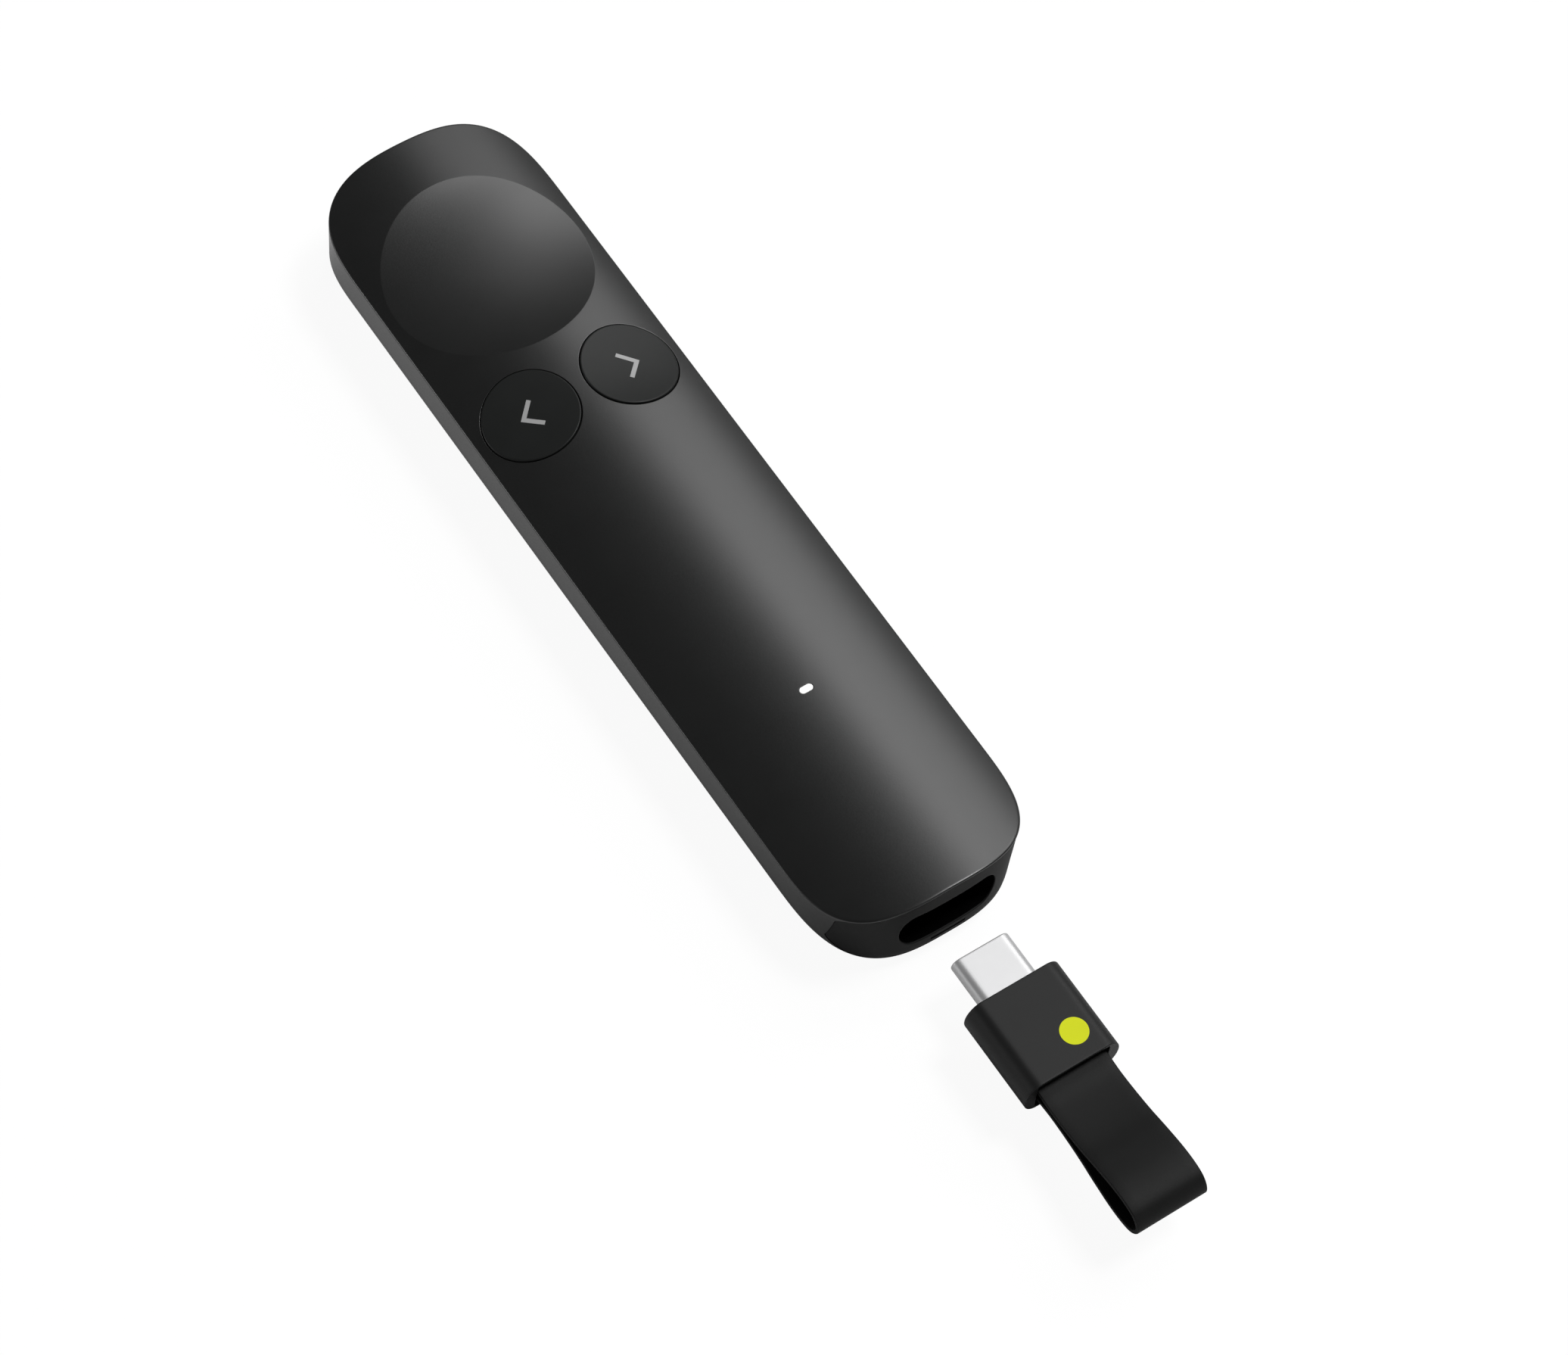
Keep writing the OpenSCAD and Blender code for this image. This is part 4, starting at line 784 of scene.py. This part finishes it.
# ---------------------------------------------------------------- receiver
def receiver_head():
    skin = Skin()

    def outer(d):
        return side_profile(HEAD_W - 2 * d, HEAD_H - 2 * d, HEAD_SIDE_R - d / 2, 26, 30) + [0, DOCK_Z]

    def mouth(d):
        """A rectangle with rounded corners."""
        corners = rounded_corners(MOUTH_W / 2 + d, MOUTH_H / 2 + d, MOUTH_CORNER_R + d, 7)
        return np.concatenate(corners) + [0, DOCK_Z]

    def plug_hole(d):
        return pill(PLUG_W + PLUG_PLAY + 2 * d, PLUG_H + PLUG_PLAY + 2 * d, 20) + [0, DOCK_Z]

    def end_face(loop, y):
        """An end of the head, outside the loop."""
        skin.fill([face, loop], [], lambda u, v: across(np.column_stack([u, v]), y))

    r, e = HEAD_EDGE, MOUTH_EDGE
    face = outer(r + HEAD_RIM)
    rear = bezier(across(outer(r), REAR_Y), across(outer(0), REAR_Y), across(outer(0), REAR_Y + r), 5)
    front = bezier(across(outer(0), FRONT_Y - r), across(outer(0), FRONT_Y), across(outer(r), FRONT_Y), 5)
    middle = [across(outer(0), y) for y in np.linspace(REAR_Y + r + 0.2, FRONT_Y - r - 0.2, 8)]
    skin.loft([across(face, REAR_Y), *rear, *middle, *front, across(face, FRONT_Y)])
    lip = bezier(across(mouth(e), REAR_Y), across(mouth(0), REAR_Y), across(mouth(0), REAR_Y + e), 4)
    bottom = across(mouth(0), REAR_Y + MOUTH_L)
    rows = skin.loft([across(mouth(e + MOUTH_RIM), REAR_Y), *lip, bottom])
    skin.faces.append(tuple(rows[-1]))
    end_face(mouth(e + MOUTH_RIM), REAR_Y)
    collar = bezier(across(plug_hole(e), FRONT_Y), across(plug_hole(0), FRONT_Y),
                    across(plug_hole(0), FRONT_Y - e), 4)
    end = across(plug_hole(0), FRONT_Y - PLUG_HOLE_L)
    rows = skin.loft([across(plug_hole(e + MOUTH_RIM), FRONT_Y), *collar, end])
    skin.faces.append(tuple(rows[-1]))
    end_face(plug_hole(e + MOUTH_RIM), FRONT_Y)
    skin.build("receiver_head", HEAD, "receiver", ["receiver_housing"])


def plug_shell():
    skin = Skin()
    root_y = FRONT_Y - PLUG_ROOT_L

    def wall(d):
        return pill(PLUG_W - 2 * d, PLUG_H - 2 * d, 22) + [0, DOCK_Z]

    r = PLUG_EDGE
    tip = bezier(across(wall(0), PLUG_TIP_Y - r), across(wall(0), PLUG_TIP_Y), across(wall(r), PLUG_TIP_Y), 6)
    outer = [across(wall(0), y) for y in np.linspace(root_y, PLUG_TIP_Y - r - 0.1, 7)]
    inner = [across(wall(PLUG_WALL - PLUG_BEVEL_W), PLUG_TIP_Y),
             across(wall(PLUG_WALL), PLUG_TIP_Y - PLUG_BEVEL_L), across(wall(PLUG_WALL), root_y)]
    skin.loft([*outer, *tip, *inner, outer[0]])
    skin.build("plug_skin", PLUG, "receiver", ["usb_plug_shell"])


# Points of the strap's upper half: shares of the loop's length from the pin, and of its half height
STRAP_HALF = [(0.05, 0.37), (0.12, 0.28), (0.21, 0.21), (0.34, 0.28), (0.48, 0.46), (0.62, 0.76), (0.77, 1),
              (0.89, 0.98), (0.965, 0.69)]


def strap_line():
    """The strap's middle line in Y and Z, closed and even."""
    end_y, turn = REAR_Y - STRAP_L, PIN_R + 0.05 + STRAP_T / 2
    length, half = PIN_Y - end_y - STRAP_T / 2, (STRAP_LOOP_H - STRAP_T) / 2
    top = [(PIN_Y - a * length, b * half) for a, b in STRAP_HALF]
    turned = [(PIN_Y + turn * math.cos(math.radians(a)), turn * math.sin(math.radians(a)))
              for a in range(-90, 91, 30)]
    m = np.array(turned + top + [(end_y + STRAP_T / 2, 0.0)] + [(y, -z) for y, z in top[::-1]])
    steps, out = 10, []
    for i in range(len(m)):
        a, b, c, d = (m[(i + k) % len(m)] for k in range(4))
        for k in range(steps):
            t = k / steps
            out.append(b + t * (c - a) / 2 + t * t * (a - 2.5 * b + 2 * c - d / 2)
                       + t**3 * (1.5 * (b - c) + (d - a) / 2))
    return np.array(out)


def strap_loop():
    skin = Skin()
    line = strap_line()
    way = np.roll(line, -1, axis=0) - np.roll(line, 1, axis=0)
    way /= np.linalg.norm(way, axis=1)[:, None]
    side = np.column_stack([way[:, 1], -way[:, 0]])
    w, h = STRAP_W / 2, STRAP_T / 2
    corners = rounded_corners(w, h, STRAP_EDGE, 5)
    across_w = np.linspace(w - STRAP_EDGE, STRAP_EDGE - w, 9)[1:-1]
    profile = [*corners[0], *((u, h) for u in across_w), *corners[1],
               *corners[2], *((-u, -h) for u in across_w), *corners[3]]
    rings = [[(x, *(line_point + d * offset)) for line_point, offset in zip(line, side)] for x, d in profile]
    rings = [np.array(ring) + [0, 0, DOCK_Z] for ring in rings]
    skin.loft([*rings, rings[0]])
    skin.build("strap_band", STRAP, "receiver", ["strap"], 60)


upper_shell()
bottom_cover()
tail_cap()
button(-1, "back_key_skin", "back_key", "back_button")
button(1, "next_key_skin", "next_key", "next_button")
receiver_head()
plug_shell()
strap_loop()


# ---------------------------------------------------------------- stage, light and camera
FLOOR_SIZE, FLOOR_DROP = 3.0, 0.00002  # in metres
FLOOR_GLOW, FLOOR_SEEN = 1.04, 0.9  # its light, and the share of it that the camera sees
WORLD_LEVEL, LAMP_DISTANCE = 0.01, 3.0
# The camera, fitted to the photograph: lens and sensor in mm, its place in metres, and its picture's axes
CAMERA_LENS, CAMERA_SENSOR = 112.58, 36.0
CAMERA_PLACE = (-0.18754, -0.25337, 0.52959)
CAMERA_RIGHT = (0.831492, -0.552367, 0.059264)
CAMERA_DOWN = (-0.45822, -0.742235, -0.489)
CAMERA_FORWARD = (0.314095, 0.379444, -0.870268)
# Painted shade seen only in reflections: places along Y in metres, and the share of the floor's white that is
# mirrored there, darker towards the tail
REFLECTION_SHADE_RAMP = ((-0.068, 0.01), (-0.047, 0.11), (-0.037, 0.18), (-0.017, 0.24), (0.003, 0.29), (0.06, 0.38))


def stage_floor():
    """A pale floor that shows as white and keeps a soft shadow. What is mirrored sees a share of its white
    that changes along Y, given by the table above: painted shade, darker towards the tail, which only
    reflections show."""
    bpy.ops.mesh.primitive_plane_add(size=FLOOR_SIZE, location=(0, 0, -FLOOR_DROP))
    floor = bpy.context.object
    floor.name = "floor"
    made = bpy.data.materials.new("floor_white")
    made.use_nodes = True
    nodes, links = made.node_tree.nodes, made.node_tree.links
    nodes.clear()
    out = nodes.new("ShaderNodeOutputMaterial")
    paper = nodes.new("ShaderNodeBsdfDiffuse")
    paper.inputs["Color"].default_value = (0.8, 0.8, 0.8, 1)
    glow = nodes.new("ShaderNodeEmission")
    glow.inputs["Strength"].default_value = FLOOR_GLOW
    place = nodes.new("ShaderNodeTexCoord")
    axes = nodes.new("ShaderNodeSeparateXYZ")
    # painted shade for reflections: this ramp darkens the floor that the walls mirror, towards the tail
    along, reflection_shade = nodes.new("ShaderNodeMapRange"), nodes.new("ShaderNodeValToRGB")
    links.new(place.outputs["Object"], axes.inputs[0])
    links.new(axes.outputs["Y"], along.inputs["Value"])
    links.new(along.outputs["Result"], reflection_shade.inputs["Fac"])
    start, end = REFLECTION_SHADE_RAMP[0][0], REFLECTION_SHADE_RAMP[-1][0]
    along.inputs["From Min"].default_value = start
    along.inputs["From Max"].default_value = end
    for _ in REFLECTION_SHADE_RAMP[2:]:
        reflection_shade.color_ramp.elements.new(0.5)
    for element, (y, share) in zip(reflection_shade.color_ramp.elements, REFLECTION_SHADE_RAMP):
        element.position = (y - start) / (end - start)
        element.color = (share, share, share, 1)
    rays = nodes.new("ShaderNodeLightPath")
    seen, mirrored, direct = (nodes.new("ShaderNodeMath") for _ in range(3))
    seen.operation, mirrored.operation, direct.operation = "MAXIMUM", "MULTIPLY_ADD", "MULTIPLY"
    mix = nodes.new("ShaderNodeMixShader")
    links.new(rays.outputs["Is Camera Ray"], direct.inputs[0])
    direct.inputs[1].default_value = FLOOR_SEEN
    links.new(rays.outputs["Is Glossy Ray"], seen.inputs[0])
    links.new(rays.outputs["Is Transmission Ray"], seen.inputs[1])
    links.new(seen.outputs[0], mirrored.inputs[0])
    links.new(reflection_shade.outputs["Color"], mirrored.inputs[1])
    links.new(direct.outputs[0], mirrored.inputs[2])
    links.new(mirrored.outputs[0], mix.inputs["Fac"])
    links.new(paper.outputs[0], mix.inputs[1])
    links.new(glow.outputs[0], mix.inputs[2])
    links.new(mix.outputs[0], out.inputs["Surface"])
    floor.data.materials.append(made)


def softbox(name, direction, size, power):
    """An area lamp that shines at the origin from a direction."""
    way = Vector(direction).normalized()
    data = bpy.data.lights.new(name, "AREA")
    data.shape = "RECTANGLE"
    data.size, data.size_y = size
    data.energy = power
    lamp = bpy.data.objects.new(name, data)
    lamp.location = way * LAMP_DISTANCE
    lamp.rotation_euler = way.to_track_quat("Z", "Y").to_euler()
    bpy.context.scene.collection.objects.link(lamp)


def world_light(level):
    """A faint even light, behind which the camera sees white."""
    world = bpy.data.worlds.new("studio")
    bpy.context.scene.world = world
    world.use_nodes = True
    nodes, links = world.node_tree.nodes, world.node_tree.links
    nodes.clear()
    out = nodes.new("ShaderNodeOutputWorld")
    rays = nodes.new("ShaderNodeLightPath")
    dim = nodes.new("ShaderNodeBackground")
    dim.inputs["Strength"].default_value = level
    white = nodes.new("ShaderNodeBackground")
    white.inputs["Color"].default_value = (1, 1, 1, 1)
    mix = nodes.new("ShaderNodeMixShader")
    links.new(rays.outputs["Is Camera Ray"], mix.inputs["Fac"])
    links.new(dim.outputs[0], mix.inputs[1])
    links.new(white.outputs[0], mix.inputs[2])
    links.new(mix.outputs[0], out.inputs["Surface"])


def camera():
    data = bpy.data.cameras.new("camera")
    data.sensor_fit = "HORIZONTAL"
    data.sensor_width = CAMERA_SENSOR
    data.lens = CAMERA_LENS
    data.clip_start, data.clip_end = 0.01, 20
    made = bpy.data.objects.new("camera", data)
    axes = Vector(CAMERA_RIGHT), -Vector(CAMERA_DOWN), -Vector(CAMERA_FORWARD)
    made.matrix_world = Matrix.Translation(CAMERA_PLACE) @ Matrix(axes).transposed().to_4x4()
    bpy.context.scene.collection.objects.link(made)
    bpy.context.scene.camera = made


stage_floor()
world_light(WORLD_LEVEL)
SQUARE, WIDE = (0.75, 0.75), (2.6, 0.6)
for lamp_name, lamp_way, lamp_size, lamp_power in (
        ("key_top", (0.432, -0.076, 0.899), SQUARE, 56.0), ("key_low", (0.807, 0.142, 0.574), SQUARE, 13.6),
        ("key_side", (0.709, 0.41, 0.574), SQUARE, 7.0), ("key_back", (0.557, 0.321, 0.766), SQUARE, 11.2),
        ("key_far", (0.413, 0.492, 0.766), SQUARE, 3.0), ("fill", (-0.853, 0.492, 0.174), SQUARE, 16.5),
        ("tail_rim", (-0.1, -0.93, 0.36), WIDE, 12.0)):
    softbox(lamp_name, lamp_way, lamp_size, lamp_power)
camera()
bpy.context.scene.view_settings.view_transform = "Standard"
